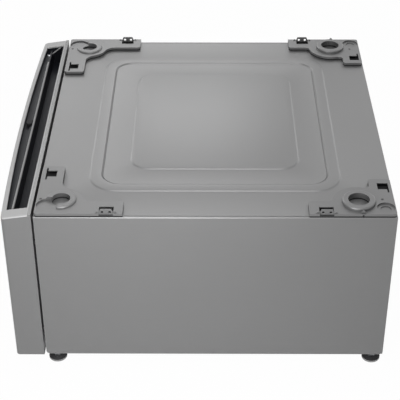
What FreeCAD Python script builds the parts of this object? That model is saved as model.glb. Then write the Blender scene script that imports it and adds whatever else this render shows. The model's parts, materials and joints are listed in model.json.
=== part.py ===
import FreeCAD, Part
import os
from types import SimpleNamespace

import Sketcher
from FreeCAD import Placement, Rotation, Vector

# Laundry pedestal with one full-width drawer.
# Frame: X across the width, the drawer front faces -Y, Z up, floor at Z = 0.
# The origin is the centre of the whole footprint. All lengths are millimetres.

os.makedirs("parts", exist_ok=True)
doc = FreeCAD.newDocument("PedestalDrawer")
sheet = doc.addObject("Spreadsheet::Sheet", "Sizes")

SIZES = [
    # cabinet
    ("cabinet_width", 686, "outside width over the side panels"),
    ("cabinet_depth", 648, "side panel length, front edge to back"),
    ("cabinet_height", 349, "upper face of the top sheet above the floor"),
    ("floor_gap", 25, "side panels end this far above the floor"),
    ("sheet_gauge", 1.2, "sheet steel of the cabinet"),
    ("top_bend", 3, "outer radius of the rolled top edge"),
    ("base_bend", 2, "outer radius of the folded lower edge"),
    ("top_lip", 3.2, "rolled top edge as seen from above"),
    ("top_ledge", 22, "sunk ledge that carries the top sheet"),
    ("base_flange", 30, "flange turned in under the side panel"),
    ("front_return", 14, "flange turned in at the front edge"),
    ("corner_cut", 6, "bevel on the lower corners of the side panels"),
    ("seam", 0.6, "open seam beside the top sheet"),
    ("rear_flange", 8, "flange around the back panel"),
    ("rear_field_margin", 70, "plain border around the stamped field of the back"),
    ("rear_field_depth", 3, "stamped depth of the back"),
    # embossing of the top sheet
    ("emboss_side", 81, "outside face to the raised band, at the sides"),
    ("emboss_end", 89.5, "front or back edge to the raised band"),
    ("emboss_height", 2, "rise of the raised band and field"),
    ("emboss_slope", 1.8, "bevel around each raised edge"),
    ("band_width", 21.5, "raised band"),
    ("ring_width", 52.5, "sunk ring between band and field"),
    ("band_corner", 52, "outer corner radius of the band"),
    ("ring_corner", 38, "corner radius of the ring, outside"),
    ("field_corner", 38, "corner radius of the raised field"),
    # corner brackets
    ("bracket_height", 7, "bracket plate above the top sheet"),
    ("bracket_plate", 2, "plate thickness over the hollow arms"),
    ("bracket_edge", 0.4, "bracket's outer edge inside the side panel's face"),
    ("bracket_setback", 1.5, "bracket behind the front edge, before the back edge"),
    ("bracket_corner", 5, "radius of the bracket's corners in plan"),
    ("front_arm_width", 43, "front bracket: width of the arm along the front"),
    ("front_arm_reach", 155, "front bracket: its end inside the side panel's face"),
    ("front_side_arm", 159.5, "front bracket: length of the arm along the side"),
    ("rear_arm_width", 42, "rear bracket: width of the arm along the back"),
    ("rear_arm_reach", 113.5, "rear bracket: its end inside the side panel's face"),
    ("rear_side_arm", 157, "rear bracket: length of the arm along the side"),
    ("side_arm_inner", 41, "both brackets: side arm's inner edge inside the panel's face"),
    ("front_socket_side", 44, "front washer socket centre inside the panel's face"),
    ("front_socket_end", 46.5, "front washer socket centre behind the front edge"),
    ("front_socket_radius", 16.6, "front washer socket"),
    ("front_socket_rise", 3.5, "front socket collar above the plate"),
    ("front_bulge", 38, "radius of the front plate around its socket"),
    ("front_blend", 24, "hollow curve where the front plate meets its bulge"),
    ("rear_socket_side", 39.5, "rear washer socket centre inside the panel's face"),
    ("rear_socket_end", 66, "rear washer socket centre before the back edge"),
    ("rear_socket_radius", 19.5, "rear washer socket"),
    ("rear_socket_rise", 6, "rear socket collar above the plate"),
    ("rear_bulge", 47, "radius of the rear plate around its socket"),
    ("rear_blend", 9, "hollow curve where the rear plate meets its bulge"),
    ("collar_width", 11, "socket wall to the foot of its collar"),
    ("collar_round", 3, "rounded rim of the collars"),
    ("front_recess_side", 28, "front shallow recess centre inside the panel's face"),
    ("front_recess_end", 23, "front shallow recess centre behind the front edge"),
    ("front_recess_radius", 20, "front shallow recess"),
    ("front_recess_depth", 3, "front shallow recess"),
    ("rear_recess_side", 21, "rear shallow recess centre inside the panel's face"),
    ("rear_recess_end", 19, "rear shallow recess centre before the back edge"),
    ("rear_recess_radius", 16.5, "rear shallow recess"),
    ("rear_recess_depth", 3, "rear shallow recess"),
    ("rear_well_radius", 9.7, "deeper middle of the rear recess"),
    ("rear_well_depth", 1.5, "deeper middle of the rear recess"),
    ("slot_width", 20, "square slot in the bracket arms"),
    ("front_slot_side", 130.5, "front slot centre inside the panel's face"),
    ("front_slot_end", 19.5, "front slot centre behind the front edge"),
    ("rear_slot_side", 90, "rear slot centre inside the panel's face"),
    ("rear_slot_end", 17, "rear slot centre before the back edge"),
    ("slit_width", 3, "narrow slit across the end of each slot"),
    ("slit_overhang", 10, "slit beyond the slot"),
    ("tab_height", 14.5, "tie-down tab above the top sheet"),
    ("tab_gauge", 1.6, "tie-down tab"),
    ("tab_base", 26, "tie-down tab at its foot"),
    ("tab_crown", 20, "tie-down tab at its top"),
    ("tab_window", 17.2, "opening that the tab was bent up from"),
    ("tab_inset", 3.3, "tab's outer face inside the bracket's outer edge"),
    ("tab_sill", 2.5, "low rim outside the tab, above the top sheet"),
    ("tab_groove", 1.3, "width left of that rim at its top"),
    ("tab_web", 7, "small web at each end of the tab"),
    ("tab_web_height", 2.5, "small web at each end of the tab"),
    ("tab_hole_radius", 2.5, "holes in the tab"),
    ("tab_hole_spacing", 13.5, "holes in the tab"),
    ("tab_hole_height", 8.2, "tab holes above the top sheet"),
    ("front_tab_end", 130, "front tab's middle behind the front edge"),
    ("rear_tab_end", 126, "rear tab's middle before the back edge"),
    ("gusset_base", 12, "small web beside the rear collar"),
    ("gusset_height", 6, "small web beside the rear collar"),
    ("edge_hole_radius", 1.8, "hole in the rim beside the rear collar"),
    ("rivet_side", 47.5, "bracket rivet inside the panel's face"),
    ("front_rivet_end", 9, "front bracket rivet behind the front edge"),
    ("rear_rivet_end", 23, "rear bracket rivet before the back edge"),
    ("rivet_radius", 1.6, "bracket rivets"),
    ("rivet_head", 2.6, "radius of the rivet heads"),
    ("rivet_rise", 0.8, "height of the rivet heads"),
    # rails and floor corners
    ("rail_height", 26, "front top rail"),
    ("rail_depth", 20, "front top rail"),
    ("base_rail_height", 16, "lower cross rails"),
    ("base_rail_depth", 30, "lower cross rails"),
    ("foot_plate_size", 58, "square plate in each lower corner"),
    ("foot_plate_gauge", 2.5, "corner plates"),
    # levelling feet
    ("foot_inset", 19, "foot centre inside the panel's face and edge"),
    ("foot_radius", 17.5, "levelling foot"),
    ("foot_sole", 14, "radius of the foot where it meets the floor"),
    ("foot_height", 12, "levelling foot without its stud"),
    ("foot_rim", 4, "rim height of the foot"),
    ("foot_neck", 10, "radius of the foot's top"),
    ("stud_radius", 5, "threaded stud"),
    ("stud_fit", 0.05, "running clearance around the stud"),
    ("stud_clear", 1.2, "stud hole in plates and panels, beyond the stud"),
    ("stud_bevel", 1, "bevel on the tip of the stud"),
    ("stud_length", 46, "stud above the foot"),
    ("stud_seat", 7, "depth of the stud in the foot"),
    ("hexagon_flats", 17, "hexagons of studs and nuts, across the flats"),
    ("hexagon_gap", 0.3, "stud hexagon to the foot below and the base above"),
    ("nut_height", 8, "weld nut"),
    # drawer front
    ("front_gap", 4, "drawer front to cabinet"),
    ("front_depth", 54, "drawer front at its ends"),
    ("front_bow", 9, "how far the middle of the front stands out"),
    ("front_rise", 5, "back of the front's top above the top sheet"),
    ("front_slope", 9.3, "fall of the top from back to front"),
    ("front_low", 23.5, "lower edge of the front above the floor"),
    ("skin_gauge", 1, "sheet of the drawer front"),
    ("skin_corner", 7, "rounded upright corners of the front"),
    ("cap_thickness", 3, "moulded cap"),
    ("cap_round", 2, "rounded rim of the cap"),
    ("cap_inner_round", 1, "rounded rim of the grip opening"),
    ("grip_end", 25, "cap beyond the ends of the grip opening"),
    ("grip_lip", 7.5, "cap in front of the grip opening"),
    ("grip_band", 3, "cap between the grip opening and the back flange"),
    ("liner_wall", 2, "grip liner"),
    ("grip_depth", 45, "grip pocket below the top"),
    ("grip_wall_back", 35, "pull wall's back face before the front's back"),
    ("grip_wall", 3, "pull wall"),
    ("grip_wall_drop", 12.5, "pull wall's top below the front's back edge"),
    ("shelf_drop", 15, "raised shelf in front of the pull wall"),
    ("shelf_width", 6, "raised shelf in front of the pull wall"),
    ("trough_drop", 19, "trough in front of the shelf"),
    ("strip_height", 4.5, "pull strip"),
    ("strip_side", 0.3, "pull strip over the wall on each side"),
    ("strip_end_gap", 0.5, "pull strip to the right end of the pocket"),
    ("strip_short", 65, "shelf and pull strip stop short of the left end"),
    ("plug_length", 19, "plug across the drawer"),
    ("plug_width", 13, "plug front to back"),
    ("plug_height", 8, "plug above the trough"),
    ("plug_back", 46, "plug's middle before the front's back"),
    ("plug_fit", 0.3, "clearance around the plug"),
    ("grip_screw_end", 15, "screw in the trough from the left end of the pocket"),
    ("grip_screw_back", 42, "screw in the trough before the front's back"),
    ("core_depth", 6, "back pan of the drawer front and its top flange"),
    ("base_height", 12, "moulded closing tray under the front"),
    ("base_wall", 2.5, "moulded closing tray"),
    # drawer bin
    ("bin_gauge", 1, "sheet of the bin"),
    ("bin_length", 580, "bin, front to back"),
    ("bin_low", 50, "bin's underside above the floor"),
    ("bin_height", 246, "bin walls"),
    ("bin_rim", 8, "turned-out rim of the bin"),
    # slides
    ("post_depth", 20, "side panel to slide"),
    ("post_setback", 8, "slides behind the front edge"),
    ("slide_length", 560, "slide members"),
    ("slide_height", 45, "outer slide member"),
    ("slide_depth", 12.7, "whole slide"),
    ("slide_level", 120, "slide's middle above the floor"),
    ("slide_gauge", 1.2, "slide members"),
    ("race_gap", 0.05, "ball to its race"),
    ("ball_radius", 1.9, "slide balls"),
    ("outer_flange", 10.5, "outer member's flange"),
    ("member_gap", 1, "outer web to middle web"),
    ("middle_flange", 7.3, "middle member's flange beyond its web"),
    ("inner_flange", 6.5, "inner member's flange beyond its web"),
    ("outer_ball_inset", 6, "outer balls inside the slide's back"),
    ("inner_ball_inset", 7.3, "inner balls inside the slide's back"),
    ("cage_gauge", 0.5, "back of the ball cages"),
    ("cage_strip", 0.8, "strip that spaces the balls"),
    ("cage_width", 2.6, "strip each side of the balls' line"),
    ("cage_length", 160, "ball cages"),
    ("cage_gap", 0.25, "cage to the web beside it"),
    ("ball_spacing", 28, "balls along the cage"),
    ("ball_pocket", 0.1, "ball to its hole in the cage"),
    # fasteners and buffers
    ("screw_radius", 2, "all screws"),
    ("screw_fit", 0.1, "hole beyond the screw"),
    ("head_radius", 4, "all screw heads"),
    ("head_height", 1.4, "all screw heads"),
    ("slide_screw_spacing", 150, "slide screws"),
    ("front_screw_spacing", 180, "screws between bin and drawer front"),
    ("front_screw_edge", 30, "screws below the bin's rim and above its floor"),
    ("bumper_radius", 5, "rubber buffer"),
    ("bumper_gap", 0.3, "buffer to the closed drawer front"),
    ("bumper_inset", 60, "buffers from the ends of the front flange"),
]

SLIDE_SCREWS = 4
BALLS_PER_ROW = 5
FRONT_SCREWS = 3


class Length:
    """A number that keeps the spreadsheet formula it was worked out with."""

    def __init__(self, value, formula):
        self.value = float(value)
        self.formula = formula

    def __float__(self):
        return self.value

    def __add__(self, other):
        return Length(self.value + float(other), joined(self, "+", other))

    def __radd__(self, other):
        return Length(float(other) + self.value, joined(other, "+", self))

    def __sub__(self, other):
        return Length(self.value - float(other), joined(self, "-", other))

    def __rsub__(self, other):
        return Length(float(other) - self.value, joined(other, "-", self))

    def __mul__(self, other):
        return Length(self.value * float(other), joined(self, "*", other))

    def __rmul__(self, other):
        return Length(float(other) * self.value, joined(other, "*", self))

    def __truediv__(self, other):
        return Length(self.value / float(other), joined(self, "/", other))

    def __neg__(self):
        return 0 - self

    def __lt__(self, other):
        return self.value < float(other)


def formula_of(number):
    if isinstance(number, Length):
        return number.formula
    return "({:.9g})".format(number)


def joined(left, sign, right):
    return "({} {} {})".format(formula_of(left), sign, formula_of(right))


def fill_sheet():
    """Write the driving sizes into the sheet and return them by name."""
    named = {}
    for row, (name, value, note) in enumerate(SIZES, start=1):
        sheet.set("A{}".format(row), name)
        sheet.set("B{}".format(row), str(value))
        sheet.set("C{}".format(row), note)
        sheet.setAlias("B{}".format(row), name)
        named[name] = Length(value, "Sizes.{}".format(name))
    doc.recompute()
    return SimpleNamespace(**named)


D = fill_sheet()


# ---------------------------------------------------------------- places used by many pieces
half_width = D.cabinet_width / 2
front_edge = (D.front_gap + D.front_depth + D.front_bow - D.cabinet_depth) / 2
rear_edge = front_edge + D.cabinet_depth
top_face = D.cabinet_height
top_under = top_face - D.sheet_gauge
ledge_under = top_under - D.sheet_gauge
inner_wall = half_width - D.sheet_gauge
base_top = D.floor_gap + D.sheet_gauge
front_back = front_edge - D.front_gap
front_total = D.front_depth + D.front_bow
front_top = top_face + D.front_rise
slide_back = inner_wall - D.post_depth
bin_half = slide_back - D.slide_depth
slide_start = front_edge + D.post_setback
plate_top = top_face + D.bracket_height

# ---------------------------------------------------------------- drawing helpers
AWAY = {"XY": 1, "XZ": -1, "YZ": 1}     # which way each plane's own normal points
TINY = 1e-4
SPARE = 5                               # how far a cutter reaches past what it cuts
made = {}


def bind(thing, prop, number):
    thing.setExpression(prop, formula_of(number))


def new_body(label):
    body = doc.addObject("PartDesign::Body", label)
    body.Label = label
    return body


def new_sketch(body, plane, level):
    """A sketch on one of the body's own origin planes, moved to a level along X, Y or Z."""
    drawing = body.newObject("Sketcher::SketchObject", body.Label + "_outline")
    role = plane + "_Plane"
    support = next(item for item in body.Origin.OriginFeatures if item.Role == role)
    drawing.AttachmentSupport = [(support, "")]
    drawing.MapMode = "FlatFace"
    bind(drawing, "AttachmentOffset.Base.z", AWAY[plane] * level)
    return drawing


def pin(drawing, geometry, point, place):
    """Fix one point of a sketch at formulas for its two coordinates."""
    for kind, number in zip(("DistanceX", "DistanceY"), place):
        rule = Sketcher.Constraint(kind, -1, 1, geometry, point, float(number))
        index = drawing.addConstraint(rule)
        bind(drawing, "Constraints[{}]".format(index), number)


def draw_polygon(drawing, corners):
    first = drawing.GeometryCount
    spots = [Vector(float(x), float(y), 0) for x, y in corners]
    count = len(spots)
    for index in range(count):
        drawing.addGeometry(Part.LineSegment(spots[index], spots[(index + 1) % count]), False)
    for index in range(count):
        following = first + (index + 1) % count
        drawing.addConstraint(Sketcher.Constraint("Coincident", first + index, 2, following, 1))
    for index, corner in enumerate(corners):
        pin(drawing, first + index, 1, corner)


def draw_circle(drawing, centre, radius):
    spot = Vector(float(centre[0]), float(centre[1]), 0)
    shape = Part.Circle(spot, Vector(0, 0, 1), float(radius))
    index = drawing.addGeometry(shape, False)
    pin(drawing, index, 3, centre)
    size = drawing.addConstraint(Sketcher.Constraint("Radius", index, float(radius)))
    bind(drawing, "Constraints[{}]".format(size), radius)


def draw_bowed(drawing, half, back, ends, bow):
    """A plan with a straight back, straight ends and a front that bows out between them."""
    radius = (half * half + bow * bow) / (2 * bow)
    right_back = Vector(float(half), float(back), 0)
    left_back = Vector(-float(half), float(back), 0)
    right_end = Vector(float(half), float(ends), 0)
    left_end = Vector(-float(half), float(ends), 0)
    peak = Vector(0, float(ends) - float(bow), 0)
    first = drawing.GeometryCount
    for start, stop in ((left_end, left_back), (left_back, right_back), (right_back, right_end)):
        drawing.addGeometry(Part.LineSegment(start, stop), False)
    drawing.addGeometry(Part.Arc(left_end, peak, right_end), False)
    left, rear, right, arc = range(first, first + 4)
    for one, its_end, other, other_end in ((left, 2, rear, 1), (rear, 2, right, 1),
                                           (right, 2, arc, 2), (arc, 1, left, 1)):
        drawing.addConstraint(Sketcher.Constraint("Coincident", one, its_end, other, other_end))
    pin(drawing, left, 1, (-half, ends))
    pin(drawing, left, 2, (-half, back))
    pin(drawing, right, 1, (half, back))
    pin(drawing, right, 2, (half, ends))
    size = drawing.addConstraint(Sketcher.Constraint("Radius", arc, float(radius)))
    bind(drawing, "Constraints[{}]".format(size), radius)


def shape_from(body, kind, plane, start, end, draw):
    """Pad or pocket between two levels along the plane's world axis."""
    start, end = sorted((start, end), key=float)
    level = start if AWAY[plane] > 0 else end
    drawing = new_sketch(body, plane, level)
    draw(drawing)
    feature = body.newObject("PartDesign::" + kind, body.Label + "_" + kind.lower())
    feature.Profile = drawing
    feature.Type = "Length"
    bind(feature, "Length", end - start)
    # a pad follows the sketch's normal, a pocket goes against it
    feature.Reversed = kind == "Pocket"
    body.Tip = feature
    doc.recompute()
    return feature


def pad(body, plane, start, end, *outlines):
    def draw(drawing):
        for outline in outlines:
            outline(drawing)
    return shape_from(body, "Pad", plane, start, end, draw)


def pocket(body, plane, start, end, *outlines):
    before = body.Shape.Volume

    def draw(drawing):
        for outline in outlines:
            outline(drawing)
    feature = shape_from(body, "Pocket", plane, start, end, draw)
    if not body.Shape.Volume < before:
        raise RuntimeError("a pocket of {} cut nothing".format(body.Label))
    return feature


def polygon(*corners):
    return lambda drawing: draw_polygon(drawing, corners)


def rectangle(low_x, low_y, high_x, high_y):
    return polygon((low_x, low_y), (high_x, low_y), (high_x, high_y), (low_x, high_y))


def circle(x, y, radius):
    return lambda drawing: draw_circle(drawing, (x, y), radius)


def bowed(half, back, ends, bow):
    return lambda drawing: draw_bowed(drawing, half, back, ends, bow)


def hexagon(x, y, flats):
    """A hexagon with two flats square to Y; the factors are those of a regular hexagon."""
    reach = flats * 0.57735
    corners = ((1, 0), (0.5, 1), (-0.5, 1), (-1, 0), (-0.5, -1), (0.5, -1))
    return polygon(*[(x + along * reach, y + across * flats / 2) for along, across in corners])


def edges_where(shape, test):
    return ["Edge{}".format(index) for index, edge in enumerate(shape.Edges, start=1)
            if test(edge)]


def upright(edge):
    ends = [vertex.Point for vertex in edge.Vertexes]
    return len(ends) == 2 and abs(ends[0].x - ends[1].x) < TINY and abs(ends[0].y - ends[1].y) < TINY


def upright_at(*places):
    """Test for upright edges that stand at any of these places in plan."""
    spots = [(float(x), float(y)) for x, y in places]

    def test(edge):
        if not upright(edge):
            return False
        point = edge.Vertexes[0].Point
        return any(abs(point.x - x) < TINY and abs(point.y - y) < TINY for x, y in spots)
    return test


def along_y_at(x, z):
    """Test for edges that run along Y at this X and Z."""
    def test(edge):
        box = edge.BoundBox
        return (abs(box.XMin - float(x)) < TINY and abs(box.XMax - float(x)) < TINY
                and abs(box.ZMin - float(z)) < TINY and abs(box.ZMax - float(z)) < TINY)
    return test


def level_at(z):
    """Test for edges that lie flat at this height."""
    def test(edge):
        box = edge.BoundBox
        return abs(box.ZMin - float(z)) < TINY and abs(box.ZMax - float(z)) < TINY
    return test


def dress(body, kind, test, size):
    """Round or bevel those edges of the body's last feature that pass the test."""
    base = body.Tip
    names = edges_where(base.Shape, test)
    if not names:
        raise RuntimeError("{} has no edge to {}".format(body.Label, kind.lower()))
    feature = body.newObject("PartDesign::" + kind, body.Label + "_" + kind.lower())
    feature.Base = (base, names)
    bind(feature, "Radius" if kind == "Fillet" else "Size", size)
    body.Tip = feature
    doc.recompute()
    return feature


def keep(node, thing):
    """Name a finished sub-part."""
    thing.Label = node
    made[node] = thing
    return thing


def slab(node, plane, start, end, *outlines):
    """A body that is one pad."""
    body = new_body(node)
    pad(body, plane, start, end, *outlines)
    return body


def cylinder(name, radius, height, place, axis):
    """A Part cylinder from its foot along an axis."""
    item = doc.addObject("Part::Cylinder", name)
    bind(item, "Radius", radius)
    bind(item, "Height", height)
    item.Placement = Placement(Vector(), Rotation(Vector(0, 0, 1), Vector(*axis)))
    for letter, number in zip("xyz", place):
        bind(item, "Placement.Base." + letter, number)
    return item


def boolean(kind, name, base, tool):
    item = doc.addObject("Part::" + kind, name)
    item.Base = base
    item.Tool = tool
    doc.recompute()
    return item


def group(node, members):
    """Like pieces that share one node, each a solid of its own."""
    item = doc.addObject("Part::Compound", node)
    item.Links = members
    doc.recompute()
    return keep(node, item)


def fused(name, members):
    item = doc.addObject("Part::MultiFuse", name)
    item.Shapes = members
    doc.recompute()
    return item


def screw(name, face, length, axis):
    """A screw whose head stands on a face point and whose shank goes in along the axis."""
    start = tuple(number - step * D.head_height for number, step in zip(face, axis))
    head = cylinder(name + "_head", D.head_radius, D.head_height, start, axis)
    shank = cylinder(name + "_shank", D.screw_radius, length, face, axis)
    return fused(name, [head, shank])


def spread(middle, spacing, count):
    """Evenly spaced places about a middle."""
    return [middle + (index - (count - 1) / 2) * spacing for index in range(count)]


SIDES = (("right", 1), ("left", -1))


# ---------------------------------------------------------------- cabinet shell
def make_side_panel(side, way):
    """A folded panel: rolled top edge with a sunk ledge, lower flange and front return."""
    body = new_body("side_panel_" + side)
    lip = half_width - D.top_lip
    corners = [
        (half_width - D.base_flange, D.floor_gap), (half_width, D.floor_gap),
        (half_width, top_face), (lip, top_face), (lip, top_under),
        (half_width - D.top_ledge, top_under), (half_width - D.top_ledge, ledge_under),
        (lip + D.sheet_gauge, ledge_under), (lip + D.sheet_gauge, top_under),
        (inner_wall, top_under), (inner_wall, base_top),
        (half_width - D.base_flange, base_top),
    ]
    pad(body, "XZ", front_edge, rear_edge, polygon(*[(way * x, z) for x, z in corners]))
    dress(body, "Fillet", along_y_at(way * half_width, top_face), D.top_bend)
    dress(body, "Fillet", along_y_at(way * half_width, D.floor_gap), D.base_bend)
    pad(body, "XZ", front_edge, front_edge + D.sheet_gauge,
        rectangle(way * (inner_wall - D.front_return), base_top,
                  way * (inner_wall + D.sheet_gauge / 2), ledge_under))
    bevels = []
    for edge, inward in ((front_edge, 1), (rear_edge, -1)):
        bevels.append(polygon((edge, D.floor_gap), (edge + inward * D.corner_cut, D.floor_gap),
                              (edge, D.floor_gap + D.corner_cut)))
    pocket(body, "YZ", way * (half_width - D.base_flange - SPARE), way * (half_width + SPARE),
           *bevels)
    holes = [circle(way * (half_width - D.foot_inset), y, D.stud_radius + D.stud_clear)
             for y in (front_edge + D.foot_inset, rear_edge - D.foot_inset)]
    pocket(body, "XY", D.floor_gap - D.base_bend, base_top + D.base_bend, *holes)
    return keep("side_panel_" + side, body)


def make_rear_panel():
    """A pan between the side panels with a stamped field."""
    body = new_body("rear_panel")
    start = rear_edge - D.rear_flange
    field = D.rear_field_margin
    pad(body, "XZ", start, rear_edge, rectangle(-inner_wall, base_top, inner_wall, ledge_under))
    pocket(body, "XZ", start - D.sheet_gauge, rear_edge - D.sheet_gauge,
           rectangle(D.sheet_gauge - inner_wall, base_top + D.sheet_gauge,
                     inner_wall - D.sheet_gauge, ledge_under - D.sheet_gauge))
    pad(body, "XZ", rear_edge - D.sheet_gauge - D.rear_field_depth, rear_edge - D.sheet_gauge,
        rectangle(field - inner_wall, base_top + field, inner_wall - field, ledge_under - field))
    inset = field + D.sheet_gauge
    pocket(body, "XZ", rear_edge - D.rear_field_depth, rear_edge + D.sheet_gauge,
           rectangle(inset - inner_wall, base_top + inset, inner_wall - inset,
                     ledge_under - inset))
    seat = half_width - D.top_ledge
    pad(body, "XZ", start, rear_edge,
        rectangle(-seat, ledge_under - D.sheet_gauge, seat, top_under))
    return keep("rear_panel", body)


def pressed_form(name, drop):
    """The form of the top sheet's upper face, lowered by drop, as a block."""
    body = new_body(name)
    face = top_face - drop
    raised = face + D.emboss_height
    edge = half_width - D.top_lip - D.seam
    pad(body, "XY", face - SPARE, face, rectangle(-edge, front_edge, edge, rear_edge))

    def outline(inset):
        side = half_width - D.emboss_side - inset
        return (-side, front_edge + D.emboss_end + inset, side, rear_edge - D.emboss_end - inset)

    def corners(inset):
        low_x, low_y, high_x, high_y = outline(inset)
        return ((low_x, low_y), (high_x, low_y), (high_x, high_y), (low_x, high_y))

    ring = D.band_width
    field = D.band_width + D.ring_width
    pad(body, "XY", face, raised, rectangle(*outline(0)))
    dress(body, "Fillet", upright_at(*corners(0)), D.band_corner)
    pocket(body, "XY", face, raised, rectangle(*outline(ring)), rectangle(*outline(field)))
    dress(body, "Fillet", upright_at(*corners(ring)), D.ring_corner)
    dress(body, "Fillet", upright_at(*corners(field)), D.field_corner)
    dress(body, "Chamfer", level_at(raised), D.emboss_slope)
    return body


def make_top_panel():
    """The embossed top sheet: one pressed form less the same form a gauge lower."""
    upper = pressed_form("top_form", 0)
    lower = pressed_form("top_form_under", D.sheet_gauge)
    return keep("top_panel", boolean("Cut", "top_panel", upper, lower))


# ---------------------------------------------------------------- corner brackets
class Corner:
    """One corner of the cabinet, measured inwards from its side face and from its end."""

    def __init__(self, end, side, way):
        self.end = end
        self.way = way
        self.label = "{}_{}".format(end, side)
        self.inward = 1 if end == "front" else -1
        self.edge = front_edge if end == "front" else rear_edge

    def x(self, inside):
        return self.way * (half_width - inside)

    def y(self, inside):
        return self.edge + self.inward * inside

    def size(self, name):
        """A size that the front and rear brackets each have a value of their own for."""
        return getattr(D, "{}_{}".format(self.end, name))


CORNERS = [Corner(end, side, way) for side, way in SIDES for end in ("front", "rear")]


def make_bracket(corner):
    """A raised corner plate with washer socket, shallow recess, slot and tie-down tab."""
    body = new_body("corner_bracket_" + corner.label)
    size = corner.size
    outer = corner.x(D.bracket_edge)
    inner = corner.x(D.side_arm_inner)
    arm_x = corner.x(size("arm_reach"))
    end = corner.y(D.bracket_setback)
    arm_y = corner.y(size("arm_width"))
    far_y = corner.y(size("side_arm"))
    socket = (corner.x(size("socket_side")), corner.y(size("socket_end")))
    radius = size("socket_radius")
    crest = plate_top + size("socket_rise")
    pad(body, "XY", top_face, plate_top,
        polygon((outer, end), (outer, far_y), (inner, far_y), (inner, arm_y), (arm_x, arm_y),
                (arm_x, end)))
    pad(body, "XY", top_face, plate_top, circle(*socket, size("bulge")))
    if size("socket_side") - size("bulge") < D.bracket_edge:
        pocket(body, "XY", top_face, plate_top,
               rectangle(outer, front_edge, corner.x(-D.cabinet_width), rear_edge))
    dress(body, "Fillet", meets_circle(socket, size("bulge"), outer), size("blend"))
    dress(body, "Fillet", upright_at((outer, end), (arm_x, end), (arm_x, arm_y), (inner, far_y)),
          D.bracket_corner)
    pad(body, "XY", plate_top, crest, circle(*socket, radius + D.collar_width))
    dress(body, "Fillet", level_at(crest), D.collar_round)
    hollow_bracket(body, corner)
    pocket(body, "XY", top_face, crest, circle(*socket, radius))
    add_recess(body, corner, crest)
    add_slot(body, corner)
    add_tab(body, corner)
    pocket(body, "XY", top_face, plate_top,
           circle(corner.x(D.rivet_side), corner.y(size("rivet_end")),
                  D.rivet_radius + D.screw_fit))
    return keep("corner_bracket_" + corner.label, body)


def meets_circle(centre, radius, outer):
    """Test for upright edges on a circle in plan, away from the bracket's outer edge."""
    middle = Vector(float(centre[0]), float(centre[1]), 0)

    def test(edge):
        if not upright(edge):
            return False
        point = edge.Vertexes[0].Point
        distance = Vector(point.x, point.y, 0).distanceToPoint(middle)
        return abs(distance - float(radius)) < TINY and abs(point.x - float(outer)) > TINY
    return test


def hollow_bracket(body, corner):
    """Open the underside of the two arms, leaving the plate and its rim."""
    wall = D.bracket_plate
    size = corner.size
    pocket(body, "XY", top_face, plate_top - wall, rectangle(
        corner.x(size("arm_reach") - wall), corner.y(D.bracket_setback + wall),
        corner.x(size("socket_side") + size("socket_radius") + wall),
        corner.y(size("arm_width") - wall)))
    pocket(body, "XY", top_face, plate_top - wall, rectangle(
        corner.x(D.side_arm_inner - wall), corner.y(size("socket_end") + size("bulge") + wall),
        corner.x(D.bracket_edge + D.tab_inset + D.tab_gauge), corner.y(size("side_arm") - wall)))


def add_recess(body, corner, crest):
    """The shallow round recess in the corner; the rear one is deeper in the middle."""
    place = (corner.x(corner.size("recess_side")), corner.y(corner.size("recess_end")))
    floor = plate_top - corner.size("recess_depth")
    pocket(body, "XY", floor, crest, circle(*place, corner.size("recess_radius")))
    if corner.end == "rear":
        pocket(body, "XY", floor - D.rear_well_depth, floor, circle(*place, D.rear_well_radius))


def add_slot(body, corner):
    """The square slot through an arm, with a narrow slit across its outer end."""
    side, end = corner.size("slot_side"), corner.size("slot_end")
    half = D.slot_width / 2
    floor = plate_top - D.bracket_plate
    pocket(body, "XY", floor, plate_top, rectangle(
        corner.x(side - half), corner.y(end - half), corner.x(side + half), corner.y(end + half)))
    far = side + half
    if corner.end == "front":
        far = far + D.slit_overhang
    pocket(body, "XY", floor, plate_top, rectangle(
        corner.x(side - half - D.slit_overhang), corner.y(end - half),
        corner.x(far), corner.y(end - half + D.slit_width)))


def add_tab(body, corner):
    """The upright tab bent out of its window near the bracket's outer edge."""
    middle = corner.y(corner.size("tab_end"))
    foot, crown = D.tab_base / 2, D.tab_crown / 2
    outer = D.bracket_edge + D.tab_inset
    inner = outer + D.tab_gauge
    sky = top_face + D.tab_height
    rim = corner.x(D.bracket_edge - SPARE)
    low, high = middle - foot, middle + foot
    pocket(body, "XY", top_face, plate_top,
           rectangle(corner.x(inner), low, corner.x(inner + D.tab_window), high))
    pocket(body, "XY", top_face + D.tab_sill, plate_top,
           rectangle(rim, low, corner.x(outer), high))
    pocket(body, "XY", top_face + D.sheet_gauge, top_face + D.tab_sill,
           rectangle(corner.x(D.bracket_edge + D.tab_groove), low, corner.x(outer), high))
    pad(body, "YZ", corner.x(inner), corner.x(outer), polygon(
        (low, top_face), (high, top_face), (high, plate_top), (middle + crown, sky),
        (middle - crown, sky), (low, plate_top)))
    for start, way in ((low, -1), (high, 1)):
        pad(body, "YZ", corner.x(inner), corner.x(outer), polygon(
            (start, plate_top), (start + way * D.tab_web, plate_top),
            (start + way * D.tab_web / 2, plate_top + D.tab_web_height)))
    pocket(body, "YZ", corner.x(inner), corner.x(outer), *[
        circle(y, top_face + D.tab_hole_height, D.tab_hole_radius)
        for y in spread(middle, D.tab_hole_spacing, 2)])
    if corner.end == "rear":
        beside = corner.y(D.rear_socket_end - D.bracket_corner)
        pad(body, "YZ", corner.x(inner), corner.x(outer), polygon(
            (beside - D.gusset_base / 2, plate_top), (beside + D.gusset_base / 2, plate_top),
            (beside, plate_top + D.gusset_height)))
        pocket(body, "YZ", corner.x(outer), rim,
               circle(beside, top_face + D.bracket_height / 2, D.edge_hole_radius))


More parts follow.
